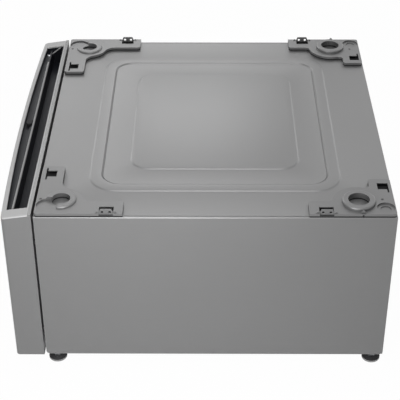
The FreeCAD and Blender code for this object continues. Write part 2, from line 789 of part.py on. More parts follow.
# ---------------------------------------------------------------- rails, corner plates, nuts
def channel(node, reach, web, mouth, low, height):
    """A cross rail of channel section between its web and its open side."""
    g = D.sheet_gauge
    inner = web + g if float(mouth) > float(web) else web - g
    high = low + height
    return keep(node, slab(node, "YZ", -reach, reach, polygon(
        (web, low), (mouth, low), (mouth, low + g), (inner, low + g), (inner, high - g),
        (mouth, high - g), (mouth, high), (web, high))))


def make_rails():
    front = front_edge + D.sheet_gauge
    rear = rear_edge - D.rear_flange
    between = inner_wall - D.foot_plate_size
    seat = half_width - D.top_ledge
    rail = channel("top_rail_front", inner_wall, front, front + D.rail_depth,
                   ledge_under - D.rail_height, D.rail_height)
    pad(rail, "XY", ledge_under - D.sheet_gauge, top_under,
        rectangle(-seat, front, seat, front + D.rail_depth))
    channel("base_rail_front", between, front, front + D.base_rail_depth, base_top,
            D.base_rail_height)
    channel("base_rail_rear", between, rear, rear - D.base_rail_depth, base_top,
            D.base_rail_height)


def make_corner_plates():
    plates, nuts = [], []
    for corner in CORNERS:
        start = corner.y(D.sheet_gauge if corner.end == "front" else D.rear_flange)
        end = start + corner.inward * D.foot_plate_size
        centre = (corner.x(D.foot_inset), corner.y(D.foot_inset))
        seat = base_top + D.foot_plate_gauge
        plate = slab("foot_plate_" + corner.label, "XY", base_top, seat,
                     rectangle(corner.x(D.sheet_gauge), start,
                               corner.x(D.sheet_gauge + D.foot_plate_size), end))
        pocket(plate, "XY", base_top, seat, circle(*centre, D.stud_radius + D.stud_clear))
        plates.append(plate)
        nuts.append(slab("foot_nut_" + corner.label, "XY", seat, seat + D.nut_height,
                         hexagon(*centre, D.hexagon_flats),
                         circle(*centre, D.stud_radius + D.stud_fit)))
    group("foot_plates", plates)
    group("foot_nuts", nuts)


# ---------------------------------------------------------------- levelling feet
def revolved(node, x, y, profile):
    """A body turned about an upright axis through a plan point."""
    body = new_body(node)
    drawing = new_sketch(body, "XZ", y)
    draw_polygon(drawing, [(x + radius, z) for radius, z in profile])
    foot, tip = profile[0][1], profile[1][1] + D.foot_height
    axis = drawing.addGeometry(Part.LineSegment(Vector(float(x), float(foot), 0),
                                                Vector(float(x), float(tip), 0)), True)
    pin(drawing, axis, 1, (x, foot))
    pin(drawing, axis, 2, (x, tip))
    feature = body.newObject("PartDesign::Revolution", node + "_turn")
    feature.Profile = drawing
    feature.ReferenceAxis = (drawing, ["Axis0"])
    feature.Angle = 360
    body.Tip = feature
    doc.recompute()
    return body


def make_feet():
    """Four feet, each a round pad and the threaded stud that carries it."""
    for corner in CORNERS:
        centre = (corner.x(D.foot_inset), corner.y(D.foot_inset))
        seat = D.foot_height - D.stud_seat
        bore = D.stud_radius + D.stud_fit
        keep("foot_pad_" + corner.label, revolved("foot_pad_" + corner.label, *centre, [
            (0, 0), (D.foot_sole, 0), (D.foot_radius, D.foot_height - 2 * D.foot_rim),
            (D.foot_radius, D.foot_height - D.foot_rim), (D.foot_neck, D.foot_height),
            (bore, D.foot_height), (bore, seat), (0, seat)]))
        stud = slab("foot_stud_" + corner.label, "XY", seat + D.stud_fit,
                    D.foot_height + D.stud_length, circle(*centre, D.stud_radius))
        pad(stud, "XY", D.foot_height + D.hexagon_gap, D.floor_gap - D.hexagon_gap,
            hexagon(*centre, D.hexagon_flats))
        dress(stud, "Chamfer", level_at(D.foot_height + D.stud_length), D.stud_bevel)
        keep("foot_stud_" + corner.label, stud)


# ---------------------------------------------------------------- drawer slides
def section(way, points):
    """A slide section: points are (distance in from the slide's back, height from its middle)."""
    return polygon(*[(way * (slide_back - inset), D.slide_level + height)
                     for inset, height in points])


def c_section(way, web, mouth, half, gauge):
    """A channel lying on its side between two insets; the web is at the first one."""
    step = gauge if float(mouth) > float(web) else -gauge
    return section(way, [(web, -half), (mouth, -half), (mouth, gauge - half),
                         (web + step, gauge - half), (web + step, half - gauge),
                         (mouth, half - gauge), (mouth, half), (web, half)])


outer_half = D.slide_height / 2
outer_ball_level = outer_half - D.slide_gauge - D.race_gap - D.ball_radius
middle_half = outer_ball_level - D.ball_radius - D.race_gap
middle_web = D.slide_gauge + D.member_gap
inner_ball_level = middle_half - D.slide_gauge - D.race_gap - D.ball_radius
inner_half = inner_ball_level - D.ball_radius - D.race_gap
slide_end = slide_start + D.slide_length
slide_middle = slide_start + D.slide_length / 2


def slide_screw_places():
    return spread(slide_middle, D.slide_screw_spacing, SLIDE_SCREWS)


def drill_along_x(body, way, near, far, places, radius):
    """Round holes through upright sheet between two distances from the middle plane."""
    pocket(body, "YZ", way * near, way * far, *[circle(y, z, radius) for y, z in places])


def make_slides(side, way):
    hole = D.screw_radius + D.screw_fit
    places = [(y, D.slide_level) for y in slide_screw_places()]
    outer = slab("slide_outer_" + side, "XZ", slide_start, slide_end,
                 c_section(way, 0, D.outer_flange, outer_half, D.slide_gauge))
    drill_along_x(outer, way, slide_back - D.slide_gauge, slide_back, places, hole)
    keep("slide_outer_" + side, outer)
    keep("slide_middle_" + side, slab(
        "slide_middle_" + side, "XZ", slide_start, slide_end,
        c_section(way, middle_web, middle_web + D.slide_gauge + D.middle_flange, middle_half,
                  D.slide_gauge)))
    inner = slab("slide_inner_" + side, "XZ", slide_start, slide_end,
                 c_section(way, D.slide_depth, D.slide_depth - D.slide_gauge - D.inner_flange,
                           inner_half, D.slide_gauge))
    drill_along_x(inner, way, bin_half, bin_half + D.slide_gauge, places, hole)
    keep("slide_inner_" + side, inner)
    make_cage("ball_cage_outer_" + side, way, D.slide_gauge + D.cage_gap, D.outer_ball_inset,
              outer_ball_level)
    make_cage("ball_cage_inner_" + side, way, middle_web + D.slide_gauge + 2 * D.cage_gap,
              D.inner_ball_inset, inner_ball_level)
    post = slab("slide_bracket_" + side, "XZ", slide_start, slide_end, section(way, [
        (0, -outer_half), (-D.post_depth, -outer_half),
        (-D.post_depth, D.sheet_gauge - outer_half), (-D.sheet_gauge, D.sheet_gauge - outer_half),
        (-D.sheet_gauge, outer_half - D.sheet_gauge),
        (-D.post_depth, outer_half - D.sheet_gauge), (-D.post_depth, outer_half),
        (0, outer_half)]))
    drill_along_x(post, way, slide_back, slide_back + D.sheet_gauge, places, hole)
    keep("slide_bracket_" + side, post)


def make_cage(node, way, back, ball_inset, ball_level):
    """A ball retainer of channel section with a row of balls in each flange."""
    start = slide_middle - D.cage_length / 2
    mouth = ball_inset + D.cage_width
    half = ball_level + D.cage_strip / 2
    body = new_body(node + "_retainer")
    g = D.cage_gauge
    strip = D.cage_strip
    pad(body, "XZ", start, start + D.cage_length, section(way, [
        (back, -half), (mouth, -half), (mouth, strip - half), (back + g, strip - half),
        (back + g, half - strip), (mouth, half - strip), (mouth, half), (back, half)]))
    x = way * (slide_back - ball_inset)
    rows = spread(slide_middle, D.ball_spacing, BALLS_PER_ROW)
    pocket(body, "XY", D.slide_level - half, D.slide_level + half,
           *[circle(x, y, D.ball_radius + D.ball_pocket) for y in rows])
    members = [body]
    for y in rows:
        for level in (-1, 1):
            ball = doc.addObject("Part::Sphere", node + "_ball")
            bind(ball, "Radius", D.ball_radius)
            for letter, number in zip("xyz", (x, y, D.slide_level + level * ball_level)):
                bind(ball, "Placement.Base." + letter, number)
            members.append(ball)
    group(node, members)


def make_slide_screws():
    """Screws from the posts into the outer members."""
    screws = []
    for side, way in SIDES:
        for index, y in enumerate(slide_screw_places()):
            face = (way * (slide_back + D.sheet_gauge), y, D.slide_level)
            screws.append(screw("slide_screw_{}_{}".format(side, index), face,
                                D.sheet_gauge + D.slide_gauge, (-way, 0, 0)))
    group("slide_screws", screws)


# ---------------------------------------------------------------- drawer front
def front_plan(side_inset, front_inset, back_inset):
    """The drawer front's plan, drawn in from its ends, its bowed face and its back."""
    half = half_width - side_inset
    return bowed(half, front_back - back_inset, front_back - D.front_depth + front_inset,
                 D.front_bow)


def roof_height(y, drop):
    """Height of the sloping top at a distance along Y, lowered by drop."""
    return front_top - drop - D.front_slope * ((front_back - y) / front_total)


def above_roof(drop):
    """Side view of everything above the sloping top, lowered by drop."""
    back = front_back + SPARE
    ahead = front_back - front_total - SPARE
    sky = front_top + SPARE
    return polygon((back, roof_height(back, drop)), (ahead, roof_height(ahead, drop)),
                   (ahead, sky), (back, sky))


def cut_roof(body, drop):
    pocket(body, "YZ", -half_width - SPARE, half_width + SPARE, above_roof(drop))


def round_upright_corners(body, inset, radius):
    y = front_back - D.front_depth + inset
    x = half_width - inset
    dress(body, "Fillet", upright_at((x, y), (-x, y)), radius)


def make_front_skin():
    body = new_body("front_skin")
    g = D.skin_gauge
    pad(body, "XY", D.front_low, front_top, front_plan(0, 0, 0))
    round_upright_corners(body, 0, D.skin_corner)
    inner = new_body("front_skin_inside")
    pad(inner, "XY", D.front_low - SPARE, front_top + SPARE, front_plan(g, g, -SPARE * g))
    round_upright_corners(inner, g, D.skin_corner - g)
    cut_roof(body, D.cap_thickness)
    return keep("front_skin", boolean("Cut", "front_skin_cut", body, inner))


def make_front_cap():
    """The moulded frame around the grip opening, on top of the skin."""
    body = new_body("front_cap")
    pad(body, "XY", front_top - D.front_slope - D.cap_thickness - SPARE, front_top,
        front_plan(0, 0, D.core_depth))
    round_upright_corners(body, 0, D.skin_corner)
    cut_roof(body, 0)
    dress(body, "Fillet", on_roof_rim, D.cap_round)
    low = front_top - D.front_slope * 2 - D.cap_thickness - SPARE
    back = front_back + SPARE
    ahead = front_back - front_total - SPARE
    pocket(body, "YZ", -half_width - SPARE, half_width + SPARE, polygon(
        (back, roof_height(back, D.cap_thickness)), (ahead, roof_height(ahead, D.cap_thickness)),
        (ahead, low), (back, low)))
    pocket(body, "XY", low, front_top + SPARE,
           front_plan(D.grip_end, D.grip_lip, D.core_depth + D.grip_band))
    dress(body, "Fillet", around_opening, D.cap_inner_round)
    return keep("front_cap", body)


def on_roof(edge):
    points = [vertex.Point for vertex in edge.Vertexes]
    return all(abs(point.z - float(roof_height(point.y, 0))) < TINY for point in points)


def on_roof_rim(edge):
    """Test for the rim of the sloping top face, without its back edge."""
    back = float(front_back - D.core_depth)
    return on_roof(edge) and not all(abs(vertex.Y - back) < TINY for vertex in edge.Vertexes)


def around_opening(edge):
    """Test for the edges of the sloping top face that go round the grip opening."""
    side = float(half_width - D.grip_end) + TINY
    back = float(front_back - D.core_depth - D.grip_band) + TINY
    return on_roof(edge) and all(abs(vertex.X) < side and vertex.Y < back
                                 for vertex in edge.Vertexes)


def make_grip_liner():
    """The dark moulded pocket: a deep finger trough behind the pull wall, a shelf before it."""
    body = new_body("grip_liner_block")
    wall = D.liner_wall
    back = front_back - D.core_depth - D.grip_band + wall
    pocket_front = front_back - D.grip_wall_back
    wall_front = pocket_front - D.grip_wall
    floor = front_top - D.grip_depth
    trough = front_top - D.trough_drop
    shelf = front_top - D.shelf_drop
    crest = front_top - D.grip_wall_drop
    ahead = front_back - front_total - SPARE
    half = half_width - D.grip_end
    pad(body, "YZ", -half - wall, half + wall, polygon(
        (back, front_top), (back, floor - wall), (wall_front, floor - wall),
        (wall_front, trough - wall), (ahead, trough - wall), (ahead, front_top)))
    sky = front_top + SPARE
    shelf_front = wall_front - D.shelf_width
    pocket(body, "YZ", -half, half, polygon(
        (back - wall, sky), (back - wall, floor), (pocket_front, floor), (pocket_front, crest),
        (wall_front, crest), (wall_front, shelf), (shelf_front, shelf), (shelf_front, trough),
        (ahead - SPARE, trough), (ahead - SPARE, sky)))
    pocket(body, "YZ", -half, D.strip_short - half, polygon(
        (wall_front, shelf), (shelf_front, shelf), (shelf_front, trough), (wall_front, trough)))
    cut_roof(body, D.cap_thickness)
    pocket(body, "XY", trough - wall, trough, circle(*grip_screw_place(),
                                                     D.screw_radius + D.screw_fit))
    hole_y = front_back - D.plug_back
    long = D.plug_length / 2 + D.plug_fit
    wide = D.plug_width / 2 + D.plug_fit
    pocket(body, "XY", trough, shelf, rectangle(-long, hole_y - wide, long, hole_y + wide))
    limit = new_body("grip_liner_limit")
    pad(limit, "XY", floor - SPARE, sky, front_plan(D.skin_gauge, D.skin_gauge, -SPARE * wall))
    round_upright_corners(limit, D.skin_gauge, D.skin_corner - D.skin_gauge)
    return keep("grip_liner", boolean("Common", "grip_liner_trimmed", body, limit))


def grip_screw_place():
    return D.grip_end + D.grip_screw_end - half_width, front_back - D.grip_screw_back


def make_grip_trim():
    """The light pull strip on the pull wall, and the plug over its middle screw."""
    crest = front_top - D.grip_wall_drop
    back = front_back - D.grip_wall_back + D.strip_side
    ahead = back - D.grip_wall - 2 * D.strip_side
    half = half_width - D.grip_end
    strip = slab("grip_strip", "XY", crest, crest + D.strip_height,
                 rectangle(D.strip_short - half, ahead, half - D.strip_end_gap, back))
    dress(strip, "Fillet", level_at(crest + D.strip_height), D.skin_gauge)
    keep("grip_strip", strip)
    trough = front_top - D.trough_drop
    y = front_back - D.plug_back
    long, wide = D.plug_length / 2, D.plug_width / 2
    plug = slab("grip_plug", "XY", trough, trough + D.plug_height,
                rectangle(-long, y - wide, long, y + wide))
    dress(plug, "Fillet", upright, wide - D.plug_fit)
    dress(plug, "Fillet", level_at(trough + D.plug_height), D.liner_wall)
    keep("grip_plug", plug)


def make_front_core():
    """The back pan of the drawer front, which the bin is screwed to, and its top flange."""
    body = new_body("front_core")
    side = half_width - D.skin_gauge
    low = D.front_low + D.base_height
    start = front_back - D.core_depth
    high = roof_height(start, D.cap_thickness)
    g = D.sheet_gauge
    pad(body, "XZ", start, front_back, rectangle(-side, low, side, front_top))
    cut_roof(body, D.cap_thickness)
    pad(body, "YZ", -half_width, half_width, polygon(
        (start, high), (front_back, roof_height(front_back, D.cap_thickness)),
        (front_back, front_top), (start, roof_height(start, 0))))
    pocket(body, "XZ", start, front_back - g, rectangle(g - side, low + g, side - g, high - g))
    drill_along_y(body, front_back - g, front_back)
    return keep("front_core", body)


def front_screw_places():
    rows = (D.bin_low + D.front_screw_edge, D.bin_low + D.bin_height - D.front_screw_edge)
    return [(x, z) for z in rows for x in spread(0, D.front_screw_spacing, FRONT_SCREWS)]


def drill_along_y(body, start, end):
    pocket(body, "XZ", start, end, *[circle(x, z, D.screw_radius + D.screw_fit)
                                     for x, z in front_screw_places()])


def make_front_base():
    """The moulded tray that closes the front below."""
    body = new_body("front_base")
    g = D.skin_gauge
    wall = g + D.base_wall
    top = D.front_low + D.base_height
    pad(body, "XY", D.front_low, top, front_plan(g, g, 0))
    round_upright_corners(body, g, D.skin_corner - g)
    pocket(body, "XY", D.front_low + D.base_wall, top, front_plan(wall, wall, D.base_wall))
    return keep("front_base", body)


# ---------------------------------------------------------------- drawer bin
def make_bin():
    g = D.bin_gauge
    start, end = front_back, front_back + D.bin_length
    low, high = D.bin_low, D.bin_low + D.bin_height
    keep("bin_floor", slab("bin_floor", "XY", low, low + g,
                           rectangle(g - bin_half, start + g, bin_half - g, end - g)))
    places = [(y, D.slide_level) for y in slide_screw_places()]
    for side, way in SIDES:
        wall = slab("bin_side_" + side, "XZ", start + g, end - g, polygon(*[
            (way * x, z) for x, z in (
                (bin_half - g, low), (bin_half, low), (bin_half, high - g),
                (bin_half + D.bin_rim, high - g), (bin_half + D.bin_rim, high),
                (bin_half - g, high))]))
        drill_along_x(wall, way, bin_half - g, bin_half, places, D.screw_radius + D.screw_fit)
        keep("bin_side_" + side, wall)
    face = slab("bin_front", "XZ", start, start + g, rectangle(-bin_half, low, bin_half, high))
    drill_along_y(face, start, start + g)
    keep("bin_front", face)
    keep("bin_back", slab("bin_back", "XZ", end - g, end,
                          rectangle(-bin_half, low, bin_half, high)))


def make_drawer_screws():
    """Screws from inside the bin into the inner slide members and the drawer front."""
    screws = []
    for side, way in SIDES:
        for index, y in enumerate(slide_screw_places()):
            face = (way * (bin_half - D.bin_gauge), y, D.slide_level)
            screws.append(screw("member_screw_{}_{}".format(side, index), face,
                                D.bin_gauge + D.slide_gauge, (way, 0, 0)))
    for index, (x, z) in enumerate(front_screw_places()):
        face = (x, front_back + D.bin_gauge, z)
        screws.append(screw("front_screw_{}".format(index), face, D.bin_gauge + D.sheet_gauge,
                            (0, -1, 0)))
    place = grip_screw_place()
    screws.append(screw("grip_screw", (*place, front_top - D.trough_drop),
                        D.liner_wall + D.sheet_gauge, (0, 0, -1)))
    group("drawer_screws", screws)


# ---------------------------------------------------------------- fasteners and buffers
def make_bracket_rivets():
    rivets = []
    for corner in CORNERS:
        face = (corner.x(D.rivet_side), corner.y(corner.size("rivet_end")), plate_top)
        name = "bracket_rivet_" + corner.label
        head = cylinder(name + "_head", D.rivet_head, D.rivet_rise, face, (0, 0, 1))
        shank = cylinder(name + "_shank", D.rivet_radius, D.bracket_height, face, (0, 0, -1))
        rivets.append(fused(name, [head, shank]))
    group("bracket_rivets", rivets)


def make_bumpers():
    """Rubber buffers on the front flanges, just behind the closed drawer front."""
    pieces = []
    x = inner_wall - D.front_return / 2
    for side, way in SIDES:
        for level, z in (("low", base_top + D.bumper_inset), ("high", top_face - D.bumper_inset)):
            pieces.append(cylinder("bumper_{}_{}".format(side, level), D.bumper_radius,
                                   D.front_gap - D.bumper_gap, (way * x, front_edge, z),
                                   (0, -1, 0)))
    group("drawer_bumpers", pieces)


# ---------------------------------------------------------------- build everything
for side_name, side_way in SIDES:
    make_side_panel(side_name, side_way)
    make_slides(side_name, side_way)
for cabinet_corner in CORNERS:
    make_bracket(cabinet_corner)
make_rear_panel()
make_top_panel()
make_rails()
make_corner_plates()
make_feet()
make_slide_screws()
make_bracket_rivets()
make_bumpers()
make_front_skin()
make_front_cap()
make_grip_liner()
make_grip_trim()
make_front_core()
make_front_base()
make_bin()
make_drawer_screws()

doc.recompute()
for item in doc.Objects:
    if "Invalid" in item.State or "Error" in item.State:
        raise RuntimeError("{} did not build: {}".format(item.Label, item.State))
for node, item in made.items():
    if item.Shape.isNull() or not item.Shape.isValid():
        raise RuntimeError("{} has no valid shape".format(node))
for node, item in made.items():
    item.Shape.exportStep("parts/{}.step".format(node))
print("{} sub-parts".format(len(made)))
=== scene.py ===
"""Dresses the frame of a laundry pedestal with one drawer: pieces, finishes, light and camera."""

import json
import math

import bmesh
import bpy
from bpy.props import FloatProperty, FloatVectorProperty, IntProperty, PointerProperty
from mathutils import Matrix, Vector

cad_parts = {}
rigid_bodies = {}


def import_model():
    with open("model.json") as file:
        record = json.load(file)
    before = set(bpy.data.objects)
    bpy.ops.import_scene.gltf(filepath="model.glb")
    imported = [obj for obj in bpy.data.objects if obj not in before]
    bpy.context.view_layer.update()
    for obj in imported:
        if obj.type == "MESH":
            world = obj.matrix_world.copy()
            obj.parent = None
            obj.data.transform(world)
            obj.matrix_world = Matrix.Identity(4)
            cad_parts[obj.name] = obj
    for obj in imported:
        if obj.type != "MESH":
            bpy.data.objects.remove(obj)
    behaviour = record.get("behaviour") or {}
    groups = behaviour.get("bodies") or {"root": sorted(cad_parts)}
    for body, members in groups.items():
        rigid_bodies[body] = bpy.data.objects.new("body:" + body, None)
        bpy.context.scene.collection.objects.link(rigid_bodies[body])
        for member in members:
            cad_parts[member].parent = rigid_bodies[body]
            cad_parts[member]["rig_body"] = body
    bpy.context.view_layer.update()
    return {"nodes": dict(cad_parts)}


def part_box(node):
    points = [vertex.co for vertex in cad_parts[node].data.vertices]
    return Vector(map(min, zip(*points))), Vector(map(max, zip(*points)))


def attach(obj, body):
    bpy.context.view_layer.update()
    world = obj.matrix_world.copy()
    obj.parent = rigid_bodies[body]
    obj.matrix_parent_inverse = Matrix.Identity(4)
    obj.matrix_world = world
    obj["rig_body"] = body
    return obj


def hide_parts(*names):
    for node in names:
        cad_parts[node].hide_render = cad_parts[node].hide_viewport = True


bl_info = {
    "name": "Laundry pedestal drawer",
    "version": (1, 0, 0),
    "blender": (4, 5, 0),
    "location": "3D View > Sidebar > Pedestal",
    "description": "Dresses the frame of a laundry pedestal with one drawer",
    "category": "Object",
}

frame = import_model()
NODES = frame["nodes"]

SIDES = ("right", "left")
ENDS = ("front", "rear")
CORNERS = tuple((end, side) for end in ENDS for side in SIDES)
UP = Vector((0.0, 0.0, 1.0))
MM = 0.001
HALF_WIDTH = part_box("side_panel_right")[1].x

MERGE = 2e-6               # points closer than this are one point
TOLERANCE = MM / 10        # sizes closer than this are one size
FLAT = math.radians(0.4)   # faces that meet at less are one flat face
CREASE = math.radians(32)  # edges sharper than this stay sharp

CORNER_STEPS = 14          # edges round one corner of a pressed outline
FLANK_STEPS = 6            # edges across one pressed flank
RAMP = 1.25                # width of a pressed flank over the width of its slope
STOREY = 0.05              # height between loops while they are bridged
SHEET_CORNER = MM / 2      # corner radius of the top sheet
SHEET_TRIM = MM / 4        # rounding of the top sheet's upper edge
PAD_STEPS = 4              # edges round one corner of a pad
PAD_CLEARANCE = MM / 20    # pads above the sheet that they lie on
PAD_EDGE = MM / 10         # rounding of the pads' edges
THREAD_STEPS = 20          # edges in one turn of a thread
THREAD_FLANK = math.radians(30)  # slope of a thread's flanks
HEAD_STEPS = 24            # edges round a screw's head
RIVET_STEPS = 20           # edges round a rivet's head
RECESS_TAPER = (0.8, 0.6)  # a recess at its bottom over its top: reach, width

# Profiles, as shares of a width and a depth or of a radius and a height.
GROOVE_PROFILE = ((0.3, 0.8), (0.5, 1.0), (0.7, 0.8), (1.0, 0.0))
HEAD_PROFILE = ((0.98, 0.0), (1.0, 0.12), (1.0, 0.35), (0.92, 0.68), (0.75, 0.92), (0.6, 1.0))
RIVET_PROFILE = ((1.0, 0.0), (0.97, 0.3), (0.86, 0.62), (0.66, 0.86), (0.38, 0.98))

STREAK = 0.012             # frequency of brushing marks along the grain over that across it
MIX_FIRST, MIX_SECOND, MIX_RESULT = 6, 7, 2  # a Mix node's sockets for colours
SOCKETS = {"metallic": "Metallic", "specular": "Specular IOR Level"}

SENSOR = 36.0              # width of the camera's sensor in mm
CAMERA_PLACE = (2.00826, 0.02049, 1.5298)
FLOOR_REACH = 12.0         # middle of the floor to its edge
MIDDLE = (0.0, 0.0, 0.18)  # middle of the object
LAMPS = {                  # strength's setting: name, place, size and aim
    "left": ("Left lamp", (-1.5, -1.2, 1.1), (0.7, 0.7), MIDDLE),
    "right": ("Right lamp", (-1.5, 1.2, 1.1), (0.7, 0.7), MIDDLE),
    "near": ("Near lamp", (0.95, -0.13, 0.50), (0.4, 0.4), (0.34, -0.1, 0.3)),
    "overhead": ("Overhead lamp", (0.6, -0.1, 2.2), (0.6, 1.8), MIDDLE),
    "back": ("Back lamp", (-1.7, -0.15, 1.4), (0.9, 0.7), MIDDLE),
}


# ---------------------------------------------------------------- what a user can change
def length(name, text, default):
    return FloatProperty(name=name, description=text, default=default, min=0.0,
                         unit="LENGTH", precision=5)


def count(name, text, default):
    return IntProperty(name=name, description=text, default=default, min=1)


def angle(name, text, degrees):
    return FloatProperty(name=name, description=text, default=math.radians(degrees),
                         unit="ROTATION", subtype="ANGLE")


def amount(name, text, default):
    return FloatProperty(name=name, description=text, default=default, min=0.0)


def power(name, text, default):
    return FloatProperty(name=name, description=text, default=default, min=0.0, unit="POWER")


def colour(name, text, default):
    return FloatVectorProperty(name=name, description=text, default=default, size=3,
                               min=0.0, max=1.0, subtype="COLOR")


class PressedSheetSizes(bpy.types.PropertyGroup):
    """Sizes of the embossed top sheet."""
    side: length("Side margin", "Cabinet's side to the raised band", 0.081)
    end: length("End margin", "Front or back edge to the raised band", 0.0895)
    band: length("Band", "Width of the raised band", 0.0215)
    ring: length("Ring", "Width of the sunk ring inside the band", 0.0525)
    band_corner: length("Band corner", "Outer corner radius of the band", 0.052)
    ring_corner: length("Ring corner", "Outer corner radius of the ring", 0.038)
    field_corner: length("Field corner", "Corner radius of the raised field", 0.038)
    rise: length("Rise", "Height of the raised band and field", 0.002)
    flank: length("Flank", "Width of the slope up to a raised area", 0.0040)
    inner_flank: length("Inner flank", "Width of the steep slope down into the ring", 0.0016)
    groove: length("Groove", "Width of the groove inside the band", 0.0022)
    groove_depth: length("Groove depth", "Depth of the groove inside the band", 0.0012)
    flank_middle: length("Flank middle", "Outline of a raised area to its flank's middle", 0.0009)
    gauge: length("Gauge", "Thickness of the sheet", 0.0012)
    seam: length("Seam", "Gap between the sheet and the rolled edges", 0.0009)


class SoftEdgeSizes(bpy.types.PropertyGroup):
    """How far each kind of piece is rounded at its edges."""
    sheet: length("Sheet edge", "Rounding of cut sheet edges", 0.0002)
    plate: length("Plate edge", "Rounding of the corner plates", 0.0007)
    moulding: length("Moulding edge", "Rounding of moulded edges", 0.0005)
    rubber: length("Rubber edge", "Rounding of the buffers", 0.0009)
    nut: length("Nut edge", "Rounding of the weld nuts and hexagons", 0.0007)


class CornerPlateSizes(bpy.types.PropertyGroup):
    """Sizes of the raised corner plates."""
    height: length("Height", "Plate above the top sheet", 0.007)
    # Walls below the lip get painted shade, and so do the outer rim's walls.
    lip: length("Lip", "Painted edge above the painted wall shade", 0.0046)
    rim: length("Rim", "Outer rim, from the cabinet's side to the tab's window", 0.0055)
    slot: length("Slot", "Width of the square slot", 0.020)
    slit: length("Slit", "Narrow slit beyond the slot", 0.010)
    window: length("Window", "Width of the opening beside the tab", 0.0172)
    tab: length("Tab", "Length of the tab's foot", 0.026)
    front_slot_side: length("Front slot, side", "Front slot to the cabinet's side", 0.1305)
    front_slot_end: length("Front slot, end", "Front slot to the front edge", 0.0195)
    rear_slot_side: length("Rear slot, side", "Rear slot to the cabinet's side", 0.090)
    rear_slot_end: length("Rear slot, end", "Rear slot to the back edge", 0.017)
    front_tab: length("Front tab", "Front tab's middle to the front edge", 0.130)
    rear_tab: length("Rear tab", "Rear tab's middle to the back edge", 0.126)
    # The pads are painted shade under the plates' openings.
    pad: length("Pad", "Thickness of the black pads under the openings", 0.0004)
    pad_corner: length("Pad corner", "Corner radius of the pads", 0.002)
    pad_overlap: length("Pad overlap", "Pads beyond the openings", 0.0015)


class EndRibSizes(bpy.types.PropertyGroup):
    """The rib on the left end wall of the grip pocket, measured from the cap's box."""
    wall: length("Wall", "Cap's end to the middle of the rib", 0.0302)
    upper_back: length("Upper end, back", "Cap's back to the rib's upper end", 0.0105)
    upper_drop: length("Upper end, drop", "Cap's top to the rib's upper end", 0.0035)
    lower_back: length("Lower end, back", "Cap's back to the rib's lower end", 0.0300)
    lower_drop: length("Lower end, drop", "Cap's top to the rib's lower end", 0.0190)
    width: length("Width", "Width of the rib", 0.0024)
    rise: length("Rise", "How far the rib stands off the wall", 0.0020)


class FootSizes(bpy.types.PropertyGroup):
    """Sizes of the levelling feet and their threaded studs."""
    sole: length("Sole", "Radius of the foot at the floor", 0.014)
    rim: length("Rim", "Radius of the foot's rim", 0.0175)
    neck: length("Neck", "Radius of the foot's top", 0.010)
    rim_low: length("Rim's lower edge", "Height of the rim's lower edge", 0.004)
    rim_high: length("Rim's upper edge", "Height of the rim's upper edge", 0.008)
    height: length("Height", "Height of the foot without its stud", 0.012)
    seat: length("Seat", "Height of the bottom of the stud's bore", 0.005)
    bore: length("Bore", "Radius of the stud's bore", 0.00505)
    ribs: count("Ribs", "Grip ribs round the rim", 24)
    rib_depth: length("Rib depth", "Depth of the grooves between the ribs", 0.0006)
    crest: length("Thread crest", "Outer radius of the thread", 0.005)
    root: length("Thread root", "Inner radius of the thread", 0.0043)
    pitch: length("Pitch", "Rise of the thread in one turn", 0.0015)
    stud_high: length("Stud tip", "Height of the stud's tip", 0.058)
    stud_low: length("Stud foot", "Height of the stud's lower end", 0.00505)
    flats: length("Across flats", "Width of the hexagon across its flats", 0.017)
    hexagon_low: length("Hexagon's underside", "Height of the hexagon's lower face", 0.0123)
    hexagon_high: length("Hexagon's top", "Height of the hexagon's upper face", 0.0247)


class FastenerSizes(bpy.types.PropertyGroup):
    """Sizes of the screws and rivets."""
    head: length("Screw head", "Radius of a screw's head", 0.004)
    head_height: length("Head height", "Height of a screw's head", 0.0014)
    shank: length("Shank", "Radius of a screw's shank", 0.002)
    recess: length("Recess", "Length of the cross recess from its middle", 0.0019)
    recess_width: length("Recess width", "Half width of each bar of the cross", 0.00035)
    recess_depth: length("Recess depth", "Depth of the cross recess", 0.0008)
    rivet: length("Rivet head", "Radius of a rivet's head", 0.0026)
    rivet_rise: length("Rivet rise", "Height of a rivet's head", 0.0008)


class FinishColours(bpy.types.PropertyGroup):
    """Colours of the finishes."""
    paint: colour("Cabinet paint", "Satin grey paint of the cabinet", (0.225, 0.225, 0.226))
    plate_paint: colour("Plate paint", "Paint of the corner plates", (0.19, 0.19, 0.191))
    # Painted shade: near black for the plates' walls below the lip and for the pads under their
    # openings.
    bare: colour("Bare moulding", "Painted shade on the lower walls of the corner plates", (0.022, 0.022, 0.023))
    sole: colour("Foot sole", "Pale sole of the feet", (0.36, 0.36, 0.36))
    front_paint: colour("Front paint", "Paint of the drawer front", (0.225, 0.225, 0.226))
    cap: colour("Cap", "Light grey moulded cap", (0.58, 0.58, 0.58))
    strip: colour("Pull strip", "Grey pull strip", (0.34, 0.34, 0.342))
    liner: colour("Grip pocket", "Blue-black moulded pocket", (0.010, 0.011, 0.015))
    rubber: colour("Rubber", "Feet, buffers and plug", (0.020, 0.020, 0.021))
    zinc: colour("Zinc", "Zinc plate on rails and screws", (0.560, 0.570, 0.590))
    steel: colour("Bright steel", "Slides and balls", (0.640, 0.650, 0.670))
    bin_paint: colour("Bin paint", "Light grey paint of the bin", (0.420, 0.425, 0.430))


